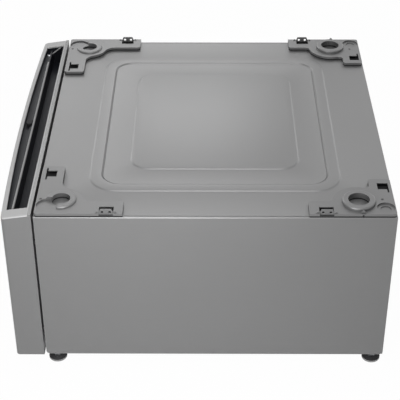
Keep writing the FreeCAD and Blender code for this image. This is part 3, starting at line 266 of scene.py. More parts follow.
class StageSettings(bpy.types.PropertyGroup):
    """Camera, lamps and floor."""
    lens: FloatProperty(name="Lens", description="Focal length on a 36 mm sensor",
                        default=103.64, unit="CAMERA")
    pitch: angle("Pitch", "Downward tilt of the camera", 34.4742)
    yaw: angle("Yaw", "Turn of the camera about the vertical", -0.4773)
    roll: angle("Roll", "Turn of the camera about its own line of sight", -0.1663)
    left: power("Left lamp", "Lamp beyond the front left corner", 6.0)
    right: power("Right lamp", "Lamp beyond the rear left corner", 4.0)
    near: power("Near lamp", "Low lamp beside the right side panel", 4.4)
    overhead: power("Overhead lamp", "Lamp above, to the right", 13.0)
    back: power("Back lamp", "Lamp beyond the left side, mirrored in the top sheet", 5.4)
    ambient: amount("Ambient light", "Strength of the even light from all round", 0.03)
    floor_glow: FloatProperty(name="Floor white", description="Share of plain white in the floor",
                              default=0.98, min=0.0, max=1.0, subtype="FACTOR")


SETTINGS = (PressedSheetSizes, SoftEdgeSizes, CornerPlateSizes, EndRibSizes, FootSizes,
            FastenerSizes, FinishColours, StageSettings)


class PedestalSettings(bpy.types.PropertyGroup):
    """Everything that a user can change."""
    sheet: PointerProperty(type=PressedSheetSizes)
    edges: PointerProperty(type=SoftEdgeSizes)
    plates: PointerProperty(type=CornerPlateSizes)
    rib: PointerProperty(type=EndRibSizes)
    feet: PointerProperty(type=FootSizes)
    fasteners: PointerProperty(type=FastenerSizes)
    colours: PointerProperty(type=FinishColours)
    stage: PointerProperty(type=StageSettings)


def settings():
    return bpy.context.scene.pedestal


# ---------------------------------------------------------------- shader arithmetic
class Value:
    """A number that varies over a surface, with Python's + and *."""

    def __init__(self, finish, socket):
        self.finish = finish
        self.socket = socket

    def maths(self, operation, *numbers):
        inputs = dict(enumerate(numbers))
        node = self.finish.add("ShaderNodeMath", {"operation": operation}, inputs)
        return Value(self.finish, node.outputs[0])

    def __add__(self, other):
        return self.maths("ADD", self, other)

    def __mul__(self, other):
        return self.maths("MULTIPLY", self, other)


class Finish:
    """A procedural material or world, built from one node at a time."""

    def __init__(self, holder):
        holder.use_nodes = True
        self.holder = holder
        self.tree = holder.node_tree
        self.tree.nodes.clear()

    @classmethod
    def named(cls, name):
        return cls(bpy.data.materials.new(name))

    def add(self, kind, chosen=None, inputs=None):
        """A node of a kind, with its settings and then its sockets' values or links."""
        node = self.tree.nodes.new(kind)
        for name, choice in (chosen or {}).items():
            setattr(node, name, choice)
        for name, given in (inputs or {}).items():
            socket = given.socket if isinstance(given, Value) else given
            if isinstance(socket, bpy.types.NodeSocket):
                self.tree.links.new(socket, node.inputs[name])
            else:
                node.inputs[name].default_value = socket
        return node

    def noise(self, scale, detail=2.0, stretch=(1.0, 1.0, 1.0)):
        """Noise from 0 to 1; stretch gives the pattern's frequency along each axis."""
        place = self.add("ShaderNodeTexCoord").outputs["Object"]
        mapped = self.add("ShaderNodeMapping", {"vector_type": "POINT"},
                          {"Vector": place, "Scale": stretch}).outputs[0]
        node = self.add("ShaderNodeTexNoise", None,
                        {"Vector": mapped, "Scale": scale, "Detail": detail})
        return Value(self, node.outputs["Fac"])

    def blend(self, factor, first, second):
        """A colour between two colours."""
        node = self.add("ShaderNodeMix", {"data_type": "RGBA"}, {
            "Factor": factor, MIX_FIRST: (*first, 1.0), MIX_SECOND: (*second, 1.0)})
        return node.outputs[MIX_RESULT]

    def bump(self, height, distance):
        """A normal from a height between 0 and 1."""
        return self.add("ShaderNodeBump", None, {
            "Height": height, "Distance": distance, "Strength": 1.0}).outputs[0]

    def finish(self, base, roughness, normal, **uniform):
        """The surface shader; what is uniform is set on its own sockets."""
        inputs = {"Base Color": base, "Roughness": roughness, "Normal": normal}
        inputs.update({SOCKETS[name]: given for name, given in uniform.items()})
        shader = self.add("ShaderNodeBsdfPrincipled", None, inputs)
        self.add("ShaderNodeOutputMaterial", None, {"Surface": shader.outputs[0]})
        return self.holder


def tinted(shade, factor):
    """A lighter or darker colour."""
    return tuple(min(1.0, part * factor) for part in shade)


def satin_paint(name, shade, rough=0.40):
    """Baked paint on sheet steel: faint cloudiness, orange peel and fine dust in the gloss."""
    finish = Finish.named(name)
    cloud = finish.noise(scale=9.0, detail=3.0)
    grain = finish.noise(scale=900.0, detail=1.0)
    base = finish.blend(cloud * 0.7 + grain * 0.3, tinted(shade, 0.965), tinted(shade, 1.035))
    peel = finish.noise(scale=420.0, detail=1.0)
    normal = finish.bump(peel + grain * 0.35, distance=0.000035)
    return finish.finish(base, cloud * 0.05 + grain * 0.04 + rough, normal, metallic=0.6)


def brushed_paint(name, shade, along, rough=0.34):
    """Metal-effect paint with a fine grain along one axis (0 to 2)."""
    finish = Finish.named(name)
    cloud = finish.noise(scale=7.0, detail=3.0)
    stretch = [1.0, 1.0, 1.0]
    stretch[along] = STREAK
    streaks = finish.noise(scale=1500.0, detail=2.0, stretch=stretch)
    speck = finish.noise(scale=1400.0, detail=1.0)
    base = finish.blend(cloud * 0.45 + streaks * 0.55, tinted(shade, 0.95), tinted(shade, 1.05))
    normal = finish.bump(streaks + speck * 0.4, distance=0.000022)
    return finish.finish(base, streaks * 0.06 + cloud * 0.04 + rough, normal, metallic=0.5)


def moulded_plastic(name, shade, rough=0.48, texture=0.00004, specular=0.5):
    """Injection moulding with a fine spark-eroded texture."""
    finish = Finish.named(name)
    grain = finish.noise(scale=1500.0, detail=2.0)
    cloud = finish.noise(scale=16.0, detail=2.0)
    base = finish.blend(cloud * 0.6 + grain * 0.4, tinted(shade, 0.95), tinted(shade, 1.05))
    normal = finish.bump(grain, texture)
    return finish.finish(base, grain * 0.08 + cloud * 0.05 + rough, normal, specular=specular)


def dull_rubber(name, shade):
    """Moulded rubber with a dusty bloom."""
    finish = Finish.named(name)
    bloom = finish.noise(scale=140.0, detail=4.0)
    grain = finish.noise(scale=2200.0, detail=1.0)
    base = finish.blend(bloom, tinted(shade, 0.8), tinted(shade, 1.5))
    normal = finish.bump(grain + bloom * 0.3, distance=0.00005)
    return finish.finish(base, bloom * 0.12 + 0.62, normal, specular=0.2)


def zinc_plate(name, shade, rough=0.30):
    """Zinc-plated steel: soft spangle, fine rolling marks and some dulling."""
    finish = Finish.named(name)
    dulling = finish.noise(scale=60.0, detail=4.0)
    rolled = finish.noise(scale=700.0, detail=2.0, stretch=(1.0, 0.05, 1.0))
    base = finish.blend(dulling * 0.7 + rolled * 0.3, tinted(shade, 0.82), tinted(shade, 1.1))
    normal = finish.bump(rolled + dulling * 0.2, distance=0.00002)
    return finish.finish(base, dulling * 0.18 + rolled * 0.06 + rough, normal, metallic=1.0)


def polished_steel(name, shade, rough=0.10):
    """Hardened, polished steel with a thin film of grease."""
    finish = Finish.named(name)
    film = finish.noise(scale=180.0, detail=3.0)
    base = finish.blend(film, tinted(shade, 0.85), tinted(shade, 1.08))
    normal = finish.bump(film, distance=0.00001)
    return finish.finish(base, film * 0.16 + rough, normal, metallic=1.0)


FINISHES = {}


def make_finishes():
    """One material for each material slot, and those of parts of pieces."""
    shade = settings().colours
    FINISHES.update({
        "cabinet_paint": brushed_paint("Cabinet paint", shade.paint, along=1),
        "top_paint": satin_paint("Top sheet paint", shade.paint),
        "bracket_paint": satin_paint("Corner plate paint", shade.plate_paint, rough=0.40),
        # Painted shade on the plates' lower walls and on the pads under their openings.
        "bare_moulding": moulded_plastic("Bare plate moulding", shade.bare, rough=0.55,
                                         specular=0.15),
        "front_paint": brushed_paint("Drawer front paint", shade.front_paint, along=2),
        "cap_plastic": moulded_plastic("Cap moulding", shade.cap, rough=0.42),
        "strip_plastic": moulded_plastic("Pull strip moulding", shade.strip, rough=0.45),
        "liner_plastic": moulded_plastic("Grip pocket moulding", shade.liner, rough=0.42,
                                         specular=0.22),
        "plug_rubber": dull_rubber("Plug rubber", shade.rubber),
        "bin_steel": satin_paint("Bin paint", shade.bin_paint, rough=0.42),
        "rail_steel": zinc_plate("Rail zinc plate", shade.zinc, rough=0.34),
        "slide_steel": zinc_plate("Slide zinc plate", shade.steel, rough=0.24),
        "ball_steel": polished_steel("Ball steel", shade.steel),
        "screw_steel": zinc_plate("Screw zinc plate", shade.zinc, rough=0.26),
        # The plates' paint darkened to 0.4: painted shade for the dark dots at the rivets.
        "rivet_paint": satin_paint("Rivet paint", tinted(shade.plate_paint, 0.4), rough=0.5),
        "foot_sole": zinc_plate("Foot sole", shade.sole, rough=0.4),
        "foot_rubber": dull_rubber("Foot rubber", tinted(shade.rubber, 1.8)),
        "stud_steel": zinc_plate("Stud zinc plate", shade.zinc, rough=0.28),
        "bumper_rubber": dull_rubber("Buffer rubber", shade.rubber),
    })


# ---------------------------------------------------------------- mesh helpers
def body_of(node):
    return NODES[node]["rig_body"]


def add_piece(name, bm, slot, nodes, finish=None, body=None):
    """A finished piece: its mesh, its material, the body it rides on and what it replaces."""
    mesh = bpy.data.meshes.new(name)
    bm.to_mesh(mesh)
    bm.free()
    mesh.shade_smooth()
    mesh.set_sharp_from_angle(angle=CREASE)
    finishes = finish or slot
    for each in (finishes,) if isinstance(finishes, str) else finishes:
        mesh.materials.append(FINISHES[each])
    piece = bpy.data.objects.new(name, mesh)
    bpy.context.scene.collection.objects.link(piece)
    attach(piece, body or body_of(nodes[0]))
    if nodes:
        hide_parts(*nodes)
    return piece


def merged_copy(node):
    """A copy of a node's mesh with its points merged and its flat faces whole."""
    bm = bmesh.new()
    bm.from_mesh(NODES[node].data)
    bmesh.ops.remove_doubles(bm, verts=bm.verts, dist=MERGE)
    bmesh.ops.dissolve_limit(bm, angle_limit=FLAT, verts=bm.verts, edges=bm.edges,
                             use_dissolve_boundaries=False)
    return bm


def softened(node, slot, edge, segments=2):
    """A copy of a node with its edges rounded, which replaces it."""
    piece = add_piece(node + "_shape", merged_copy(node), slot, [node])
    round_edges(piece, edge, segments)


def round_edges(piece, width, segments):
    """Live modifiers that round a piece's sharp edges and keep its flats flat."""
    if width:
        bevel = piece.modifiers.new("Rounded edges", "BEVEL")
        bevel.width = width
        bevel.segments = segments
        bevel.limit_method = "ANGLE"
        bevel.angle_limit = CREASE
        bevel.use_clamp_overlap = True
    weighted = piece.modifiers.new("Even shading", "WEIGHTED_NORMAL")
    weighted.keep_sharp = True


def new_edges(bm, before):
    return [edge for edge in bm.edges if edge not in before]


def rounded_loop(bm, low, high, radius, z, steps=CORNER_STEPS):
    """A closed loop of edges round a rectangle in plan, with round corners."""
    before = set(bm.edges)
    corners = [bm.verts.new((x, y, z)) for x, y in (
        (low[0], low[1]), (high[0], low[1]), (high[0], high[1]), (low[0], high[1]))]
    bm.faces.new(corners)
    bmesh.ops.bevel(bm, geom=corners, offset=radius, offset_type="OFFSET",
                    segments=steps, profile=0.5, affect="VERTICES", material=-1,
                    clamp_overlap=False)
    edges = new_edges(bm, before)
    faces = list({face for edge in edges for face in edge.link_faces})
    bmesh.ops.delete(bm, geom=faces, context="FACES_ONLY")
    return new_edges(bm, before)


def bridge_in_order(bm, loops):
    """Faces from each loop to the next."""
    for first, second in zip(loops, loops[1:]):
        bmesh.ops.bridge_loops(bm, edges=first + second)


def outward(bm):
    """Merges a mesh's points and turns its faces outward."""
    bmesh.ops.remove_doubles(bm, verts=bm.verts, dist=MERGE)
    bmesh.ops.recalc_face_normals(bm, faces=bm.faces)


# ---------------------------------------------------------------- cabinet
def make_top_sheet():
    """The embossed top sheet, with flanks that slope up to the raised band and field."""
    size = settings().sheet
    low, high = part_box("top_panel")
    side = HALF_WIDTH - size.side
    face = low.z + size.gauge
    low.x, high.x = low.x + size.seam, high.x - size.seam
    edge = (low.x, low.y, high.x, high.y)
    inner = (low.x + SHEET_TRIM, low.y + SHEET_TRIM, high.x - SHEET_TRIM, high.y - SHEET_TRIM)
    outlines = [(edge, SHEET_CORNER, low.z), (edge, SHEET_CORNER, face - SHEET_TRIM),
                (inner, SHEET_CORNER, face)]
    ring = size.band
    field = size.band + size.ring
    for start, corner, flank, rising in (
            (0.0, size.band_corner, size.flank, True),
            (ring, size.ring_corner, size.inner_flank, False),
            (field, size.field_corner, size.flank, True)):
        for step in range(FLANK_STEPS + 1):
            way = 2.0 * step / FLANK_STEPS - 1.0
            wave = 0.5 + 0.5 * max(-1.0, min(1.0, way * RAMP))
            inset = start + size.flank_middle + way * flank / 2.0
            outlines.append(((-side + inset, low.y + size.end + inset, side - inset,
                              high.y - size.end - inset), corner - (inset - start),
                             face + size.rise * (wave if rising else 1.0 - wave)))
        if not rising:
            (left, near, right, far), bend, level = outlines[-1]
            for share, depth in GROOVE_PROFILE:
                inset = size.groove * share
                outlines.append(((left + inset, near + inset, right - inset, far - inset),
                                 bend - inset, level - size.groove_depth * depth))
    bm = bmesh.new()
    loops = []
    for index, (box, radius, _) in enumerate(outlines):
        loops.append(rounded_loop(bm, box[:2], box[2:], radius, index * STOREY))
    bridge_in_order(bm, loops)
    bmesh.ops.contextual_create(bm, geom=loops[-1])
    for vert in bm.verts:
        vert.co.z = outlines[round(vert.co.z / STOREY)][2]
    bmesh.ops.recalc_face_normals(bm, faces=bm.faces)
    if max(bm.faces, key=lambda each: each.calc_area()).normal.z < 0.0:
        bmesh.ops.reverse_faces(bm, faces=bm.faces)
    piece = add_piece("top_sheet", bm, "cabinet_paint", ["top_panel"], "top_paint")
    wall = piece.modifiers.new("Gauge", "SOLIDIFY")
    wall.thickness = size.gauge
    wall.offset = -1.0


def make_cabinet():
    """Panels, slide posts, rails, foot plates, nuts and buffers, with rounded edges."""
    sheet = settings().edges.sheet
    for side in SIDES:
        softened("side_panel_" + side, "cabinet_paint", sheet)
        softened("slide_bracket_" + side, "rail_steel", sheet)
    softened("rear_panel", "cabinet_paint", sheet)
    for node in ("top_rail_front", "base_rail_front", "base_rail_rear", "foot_plates"):
        softened(node, "rail_steel", sheet)
    softened("foot_nuts", "stud_steel", settings().edges.nut)
    softened("drawer_bumpers", "bumper_rubber", settings().edges.rubber, segments=3)


def make_corner_plate(corner):
    """A raised corner plate: painted above, with painted shade in near black on the walls below
    its lip.
    """
    size = settings().plates
    node = "corner_bracket_{}_{}".format(*corner)
    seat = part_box(node)[0].z
    lip = seat + size.height - size.lip
    bm = merged_copy(node)
    bmesh.ops.bisect_plane(bm, geom=bm.verts[:] + bm.edges[:] + bm.faces[:],
                           plane_co=(0.0, 0.0, lip), plane_no=UP)
    bm.normal_update()
    for face in bm.faces:
        # Painted shade: walls below the lip, the outer rim's too, take the second, near black
        # material.
        middle = face.calc_center_median()
        if abs(face.normal.z) < 0.5 and middle.z < lip:
            face.material_index = 1
    piece = add_piece("corner_plate_{}_{}".format(*corner), bm, "bracket_paint", [node],
                      ("bracket_paint", "bare_moulding"))
    round_edges(piece, settings().edges.plate, 2)


def make_slot_shade_pads(corner):
    """Painted shade: black pads on the sheet under a corner plate's slot and its tab's window,
    where the openings show only shade.
    """
    size = settings().plates
    end, side = corner
    way = 1.0 if side == "right" else -1.0
    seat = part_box("corner_bracket_{}_{}".format(end, side))[0].z
    tab = size.front_tab if end == "front" else size.rear_tab
    slot_side = size.front_slot_side if end == "front" else size.rear_slot_side
    slot_end = size.front_slot_end if end == "front" else size.rear_slot_end
    sheet_low, sheet_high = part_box("top_panel")
    start, inward = (sheet_low.y, 1.0) if end == "front" else (sheet_high.y, -1.0)
    half = size.slot / 2 + size.pad_overlap
    slit = half + size.slit
    window = HALF_WIDTH - size.rim - size.window / 2
    bm = bmesh.new()
    for x, y, reach_x, reach_y in (
            (HALF_WIDTH - slot_side, start + inward * slot_end, slit, half),
            (window, start + inward * tab, size.window / 2 + size.pad_overlap / 2,
             size.tab / 2)):
        box = (way * x - reach_x, y - reach_y), (way * x + reach_x, y + reach_y)
        loops = [rounded_loop(bm, *box, size.pad_corner, seat + height, PAD_STEPS)
                 for height in (PAD_CLEARANCE, size.pad)]
        bridge_in_order(bm, loops)
        for loop in loops:
            bmesh.ops.contextual_create(bm, geom=loop)
    outward(bm)
    # The pads take the near black painted shade finish, not rubber.
    piece = add_piece("slot_pads_{}_{}".format(end, side), bm, "bumper_rubber", [],
                      "bare_moulding", body="cabinet")
    round_edges(piece, PAD_EDGE, 1)


# ---------------------------------------------------------------- drawer
def make_drawer_front():
    """The drawer front, its cap and its grip pocket."""
    edges = settings().edges
    softened("front_skin", "front_paint", edges.sheet)
    softened("front_core", "front_paint", edges.sheet)
    softened("front_base", "liner_plastic", edges.moulding)
    softened("front_cap", "cap_plastic", 0.0)
    softened("grip_liner", "liner_plastic", edges.moulding)
    softened("grip_strip", "strip_plastic", 0.0)
    softened("grip_plug", "plug_rubber", 0.0)
    make_end_rib()


def make_end_rib():
    """The slanted light rib on the left end wall of the grip pocket."""
    size = settings().rib
    low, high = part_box("front_cap")
    wall = low.x + size.wall
    upper = Vector((wall, high.y - size.upper_back, high.z - size.upper_drop))
    lower = Vector((wall, high.y - size.lower_back, high.z - size.lower_drop))
    along = lower - upper
    bm = bmesh.new()
    bmesh.ops.create_cube(bm, size=1.0)
    bmesh.ops.scale(bm, vec=(size.rise, along.length, size.width), verts=bm.verts)
    bmesh.ops.rotate(bm, cent=(0.0, 0.0, 0.0), verts=bm.verts,
                     matrix=Matrix.Rotation(math.atan2(-along.z, -along.y), 3, "X"))
    bmesh.ops.translate(bm, vec=(upper + lower) / 2.0, verts=bm.verts)
    piece = add_piece("grip_end_rib", bm, "strip_plastic", [], "cap_plastic", body="drawer")
    round_edges(piece, size.rise / 4.0, 2)


def make_bin():
    """The sheet-steel bin."""
    for node in ("bin_floor", "bin_side_right", "bin_side_left", "bin_front", "bin_back"):
        softened(node, "bin_steel", settings().edges.sheet)


def make_slides():
    """The members and ball cages of the slides."""
    for side in SIDES:
        for member in ("slide_outer_", "slide_middle_", "slide_inner_"):
            softened(member + side, "slide_steel", settings().edges.sheet)
        for cage in ("ball_cage_outer_", "ball_cage_inner_"):
            softened(cage + side, "ball_steel", 0.0)


# ---------------------------------------------------------------- feet
def spun(bm, profile, centre, steps):
    """A closed profile of (radius, height) turned about an upright axis."""
    points = [bm.verts.new((centre.x + radius, centre.y, height)) for radius, height in profile]
    edges = [bm.edges.new(pair) for pair in zip(points, points[1:])]
    bmesh.ops.spin(bm, geom=points + edges, cent=(centre.x, centre.y, 0.0), axis=UP,
                   angle=math.tau, steps=steps, use_merge=True)
    outward(bm)


def make_foot_pad(corner):
    """A foot with a pale ribbed rim and sole, a dark top and a bore for its stud."""
    size = settings().feet
    node = "foot_pad_{}_{}".format(*corner)
    low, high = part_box(node)
    centre = (low + high) / 2.0
    soft = settings().edges.moulding
    facets = size.ribs * 2
    profile = [
        (0.0, 0.0), (size.sole - soft, 0.0), (size.sole, soft),
        (size.rim - soft / 2, size.rim_low - soft), (size.rim, size.rim_low),
        (size.rim, size.rim_high - soft), (size.rim - soft, size.rim_high),
        (size.neck + soft, size.height - soft / 2), (size.neck, size.height),
        (size.bore, size.height), (size.bore, size.seat), (0.0, size.seat)]
    bm = bmesh.new()
    spun(bm, profile, centre, facets)
    band = [face for face in bm.faces
            if size.rim_low < face.calc_center_median().z < size.rim_high - soft
            or 2 * soft < face.calc_center_median().z < size.rim_low - soft]
    grooves = []
    for face in band:
        middle = face.calc_center_median() - centre
        turn = math.atan2(middle.y, middle.x) / math.tau * facets
        if math.floor(turn) % 2 == 0:
            grooves.append(face)
    bmesh.ops.inset_individual(bm, faces=grooves, thickness=soft / 2, depth=-size.rib_depth,
                               use_even_offset=True)
    for face in bm.faces:
        if face.calc_center_median().z < size.rim_high - soft:
            face.material_index = 1
    add_piece("foot_" + "_".join(corner), bm, "foot_rubber", [node], ("foot_rubber", "foot_sole"))


def make_stud(corner):
    """A threaded stud with its hexagon."""
    size = settings().feet
    node = "foot_stud_{}_{}".format(*corner)
    low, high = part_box(node)
    centre = (low + high) / 2.0
    start = size.stud_low - size.pitch
    turns = math.ceil((size.stud_high - start) / size.pitch) + 1
    flank = (size.crest - size.root) * math.tan(THREAD_FLANK)
    profile = ((size.root, start), (size.crest, start + size.pitch / 2 - flank / 2),
               (size.crest, start + size.pitch / 2 + flank / 2), (size.root, start + size.pitch))
    bm = bmesh.new()
    points = [bm.verts.new((centre.x + radius, centre.y, height)) for radius, height in profile]
    edges = [bm.edges.new(pair) for pair in zip(points, points[1:])]
    bmesh.ops.spin(bm, geom=points + edges, cent=(centre.x, centre.y, 0.0), axis=UP,
                   angle=math.tau * turns, steps=THREAD_STEPS * turns,
                   dvec=(0.0, 0.0, size.pitch / THREAD_STEPS), use_merge=False)
    outward(bm)
    for level, way in ((size.stud_low, -1.0), (size.stud_high, 1.0)):
        cut = bmesh.ops.bisect_plane(bm, geom=bm.verts[:] + bm.edges[:] + bm.faces[:],
                                     plane_co=(0.0, 0.0, level), plane_no=(0.0, 0.0, way),
                                     clear_outer=True)
        rim = [item for item in cut["geom_cut"] if isinstance(item, bmesh.types.BMEdge)]
        bmesh.ops.holes_fill(bm, edges=rim, sides=0)
    reach = size.flats / math.sqrt(3.0)
    hexagon = bmesh.ops.create_cone(
        bm, cap_ends=True, segments=6, radius1=reach, radius2=reach,
        depth=size.hexagon_high - size.hexagon_low,
        matrix=Matrix.Translation((centre.x, centre.y,
                                   (size.hexagon_low + size.hexagon_high) / 2.0))
        @ Matrix.Rotation(hexagon_turn(node, centre, size), 4, "Z"))
    rims = {edge for vert in hexagon["verts"] for edge in vert.link_edges
            if abs(edge.verts[0].co.z - edge.verts[1].co.z) < MERGE}
    bmesh.ops.bevel(bm, geom=list(rims), offset=settings().edges.nut, offset_type="OFFSET",
                    segments=2, profile=0.5, affect="EDGES", material=-1)
    bmesh.ops.recalc_face_normals(bm, faces=bm.faces)
    add_piece("stud_" + "_".join(corner), bm, "stud_steel", [node])


def hexagon_turn(node, centre, size):
    """Turn of the hexagon that brings its corners to where the node has them."""
    reach = size.flats / math.sqrt(3.0) - TOLERANCE
    for vert in NODES[node].data.vertices:
        arm = vert.co - centre
        if math.hypot(arm.x, arm.y) > reach:
            return math.atan2(arm.y, arm.x)
    raise ValueError("no hexagon on " + node)


# ---------------------------------------------------------------- fasteners
def circle_loop(bm, radius, height, matrix, steps):
    """A loop of edges round a circle."""
    before = set(bm.edges)
    bmesh.ops.create_circle(bm, cap_ends=False, segments=steps, radius=radius,
                            matrix=matrix @ Matrix.Translation((0.0, 0.0, height)))
    return new_edges(bm, before)


def cross_loop(bm, reach, half, height, matrix):
    """A loop of edges round a cross in plan."""
    before = set(bm.edges)
    quarter = [Vector((half, reach, height)), Vector((half, half, height)),
               Vector((reach, half, height))]
    points = []
    for turn in range(4):
        spin = Matrix.Rotation(-turn * math.pi / 2.0, 4, "Z")
        points += [bm.verts.new(matrix @ spin @ point) for point in quarter]
    for first, second in zip(points, points[1:] + points[:1]):
        bm.edges.new((first, second))
    return new_edges(bm, before)


def add_pan_head(bm, place, axis, length_below):
    """A screw with a domed head and a cross recess; the head's underside is at the place."""
    size = settings().fasteners
    turn = UP.rotation_difference(axis).to_matrix().to_4x4()
    matrix = Matrix.Translation(place) @ turn
    loops = [circle_loop(bm, size.shank, height, matrix, HEAD_STEPS)
             for height in (-length_below, 0.0)]
    loops += [circle_loop(bm, size.head * share, size.head_height * height, matrix, HEAD_STEPS)
              for share, height in HEAD_PROFILE]
    reach, width = RECESS_TAPER
    loops += [cross_loop(bm, size.recess, size.recess_width, size.head_height, matrix),
              cross_loop(bm, size.recess * reach, size.recess_width * width,
                         size.head_height - size.recess_depth, matrix)]
    bridge_in_order(bm, loops)
    for end in (loops[0], loops[-1]):
        bmesh.ops.contextual_create(bm, geom=end)


def add_rivet(bm, place):
    """A domed rivet head."""
    size = settings().fasteners
    matrix = Matrix.Translation(place)
    loops = [circle_loop(bm, size.rivet * share, size.rivet_rise * height, matrix, RIVET_STEPS)
             for share, height in RIVET_PROFILE]
    bridge_in_order(bm, loops)
    for end in (loops[0], loops[-1]):
        bmesh.ops.contextual_create(bm, geom=end)


def loose_boxes(node):
    """The box of each separate solid in a node."""
    bm = bmesh.new()
    bm.from_mesh(NODES[node].data)
    bmesh.ops.remove_doubles(bm, verts=bm.verts, dist=MERGE)
    left = set(bm.verts)
    boxes = []
    while left:
        stack = [left.pop()]
        island = []
        while stack:
            vert = stack.pop()
            island.append(vert.co.copy())
            for edge in vert.link_edges:
                other = edge.other_vert(vert)
                if other in left:
                    left.remove(other)
                    stack.append(other)
        low = Vector([min(point[i] for point in island) for i in range(3)])
        high = Vector([max(point[i] for point in island) for i in range(3)])
        boxes.append((low, high))
    bm.free()
    return sorted(boxes, key=lambda pair: tuple(pair[0]))


def screws_of(node):
    """Each screw of a node: the axis that it lies along, its middle and its box."""
    size = settings().fasteners
    screws = []
    for low, high in loose_boxes(node):
        spread = high - low
        axis = min(range(3), key=lambda i: abs(spread[i] - 2 * size.head) < TOLERANCE)
        screws.append((axis, (low + high) / 2.0, low, high))
    return screws


def make_screws():
    """The pan-head screws in the slides, the bin and the grip pocket."""
    size = settings().fasteners
    for node in ("slide_screws", "drawer_screws"):
        bm = bmesh.new()
        for axis, middle, low, high in screws_of(node):
            way = head_way(node, axis, low, high)
            normal = Vector([way if i == axis else 0.0 for i in range(3)])
            end = high[axis] if way > 0 else low[axis]
            place = middle.copy()
            place[axis] = end - way * size.head_height
            add_pan_head(bm, place, normal, high[axis] - low[axis] - size.head_height)
        outward(bm)
        add_piece(node + "_shape", bm, "screw_steel", [node])


def head_way(node, axis, low, high):
    """Which end of a screw, along its axis, has the head."""
    size = settings().fasteners
    reach = size.shank + TOLERANCE
    middle = (low + high) / 2.0
    others = [i for i in range(3) if i != axis]
    heads = [vert.co[axis] for vert in NODES[node].data.vertices
             if all(low[i] - MERGE <= vert.co[i] <= high[i] + MERGE for i in range(3))
             and math.hypot(*(vert.co[i] - middle[i] for i in others)) > reach]
    return 1.0 if sum(heads) / len(heads) > middle[axis] else -1.0


def make_rivets():
    """The rivets of the corner plates, in the plates' paint darkened as painted shade."""
    size = settings().fasteners
    bm = bmesh.new()
    for low, high in loose_boxes("bracket_rivets"):
        middle = (low + high) / 2.0
        add_rivet(bm, Vector((middle.x, middle.y, high.z - size.rivet_rise)))
    outward(bm)
    add_piece("bracket_rivets_shape", bm, "screw_steel", ["bracket_rivets"], "rivet_paint")


# ---------------------------------------------------------------- stage
def make_floor():
    """A pale floor that shows plain white to the camera and keeps a little of the shadow."""
    bm = bmesh.new()
    bmesh.ops.create_grid(bm, x_segments=1, y_segments=1, size=FLOOR_REACH)
    mesh = bpy.data.meshes.new("floor")
    bm.to_mesh(mesh)
    bm.free()
    floor = bpy.data.objects.new("floor", mesh)
    bpy.context.scene.collection.objects.link(floor)
    finish = Finish.named("White floor")
    seen = rays(finish)
    mottle = finish.noise(scale=3.0, detail=2.0)
    base = finish.blend(mottle, (0.86, 0.86, 0.86), (0.90, 0.90, 0.90))
    lit = finish.add("ShaderNodeBsdfDiffuse", None, {"Color": base})
    white = finish.add("ShaderNodeEmission", None,
                       {"Color": (1.0, 1.0, 1.0, 1.0), "Strength": 1.0})
    mixed = finish.add("ShaderNodeMixShader", None, {
        "Fac": seen * settings().stage.floor_glow, 1: lit.outputs[0], 2: white.outputs[0]})
    finish.add("ShaderNodeOutputMaterial", None, {"Surface": mixed.outputs[0]})
    mesh.materials.append(finish.holder)


def rays(finish):
    """1 for rays that show the background: camera, mirror and glass rays."""
    path = finish.add("ShaderNodeLightPath")
    kinds = [Value(finish, path.outputs[name]) for name in (
        "Is Camera Ray", "Is Glossy Ray", "Is Transmission Ray")]
    total = kinds[0] + kinds[1] + kinds[2]
    return total.maths("MINIMUM", total, 1.0)


def make_world():
    """Even light from all round, and plain white behind the object and in its reflections."""
    world = bpy.data.worlds.new("Studio")
    bpy.context.scene.world = world
    studio = Finish(world)
    ambient = settings().stage.ambient
    strength = rays(studio) * (1.0 - ambient) + ambient
    back = studio.add("ShaderNodeBackground", None, {
        "Color": (1.0, 1.0, 1.0, 1.0), "Strength": strength})
    studio.add("ShaderNodeOutputWorld", None, {"Surface": back.outputs[0]})


def add_lamp(name, place, size, aim, watts):
    """An area lamp that points at its aim."""
    lamp = bpy.data.lights.new(name, "AREA")
    lamp.shape = "RECTANGLE"
    lamp.size, lamp.size_y = size
    lamp.energy = watts
    holder = bpy.data.objects.new(name, lamp)
    bpy.context.scene.collection.objects.link(holder)
    holder.location = place
    holder.rotation_euler = (Vector(aim) - Vector(place)).to_track_quat("-Z", "Y").to_euler()


def make_camera():
    """The camera, to the right of the object and above it."""
    stage = settings().stage
    pitch, yaw, roll = stage.pitch, stage.yaw, stage.roll
    ahead = Vector((-math.cos(pitch) * math.cos(yaw), math.cos(pitch) * math.sin(yaw),
                    -math.sin(pitch)))
    right = ahead.cross(UP).normalized()
    up = right.cross(ahead)
    turned_right = right * math.cos(roll) + up * math.sin(roll)
    turned_up = up * math.cos(roll) - right * math.sin(roll)
    lens = bpy.data.cameras.new("Camera")
    lens.lens = stage.lens
    lens.sensor_width = SENSOR
    camera = bpy.data.objects.new("Camera", lens)
    bpy.context.scene.collection.objects.link(camera)
    camera.matrix_world = Matrix.Translation(CAMERA_PLACE) @ Matrix(
        (turned_right, turned_up, -ahead)).transposed().to_4x4()
    bpy.context.scene.camera = camera


def make_stage():
    """Floor, world, lamps and camera."""
    make_floor()
    make_world()
    for setting, lamp in LAMPS.items():
        add_lamp(*lamp, getattr(settings().stage, setting))
    make_camera()
    bpy.context.scene.view_settings.view_transform = "Standard"


# ---------------------------------------------------------------- operators
class PieceOperator:
    """What the operators share: they do their one job, and an error in it stops them."""
    bl_options = {"REGISTER", "UNDO"}

    def execute(self, context):
        self.make()
        return {"FINISHED"}


class PEDESTAL_OT_finishes(PieceOperator, bpy.types.Operator):
    """Make the paints, plastics, rubbers and metals"""
    bl_idname = "pedestal.finishes"
    bl_label = "Finishes"

    def make(self):
        make_finishes()


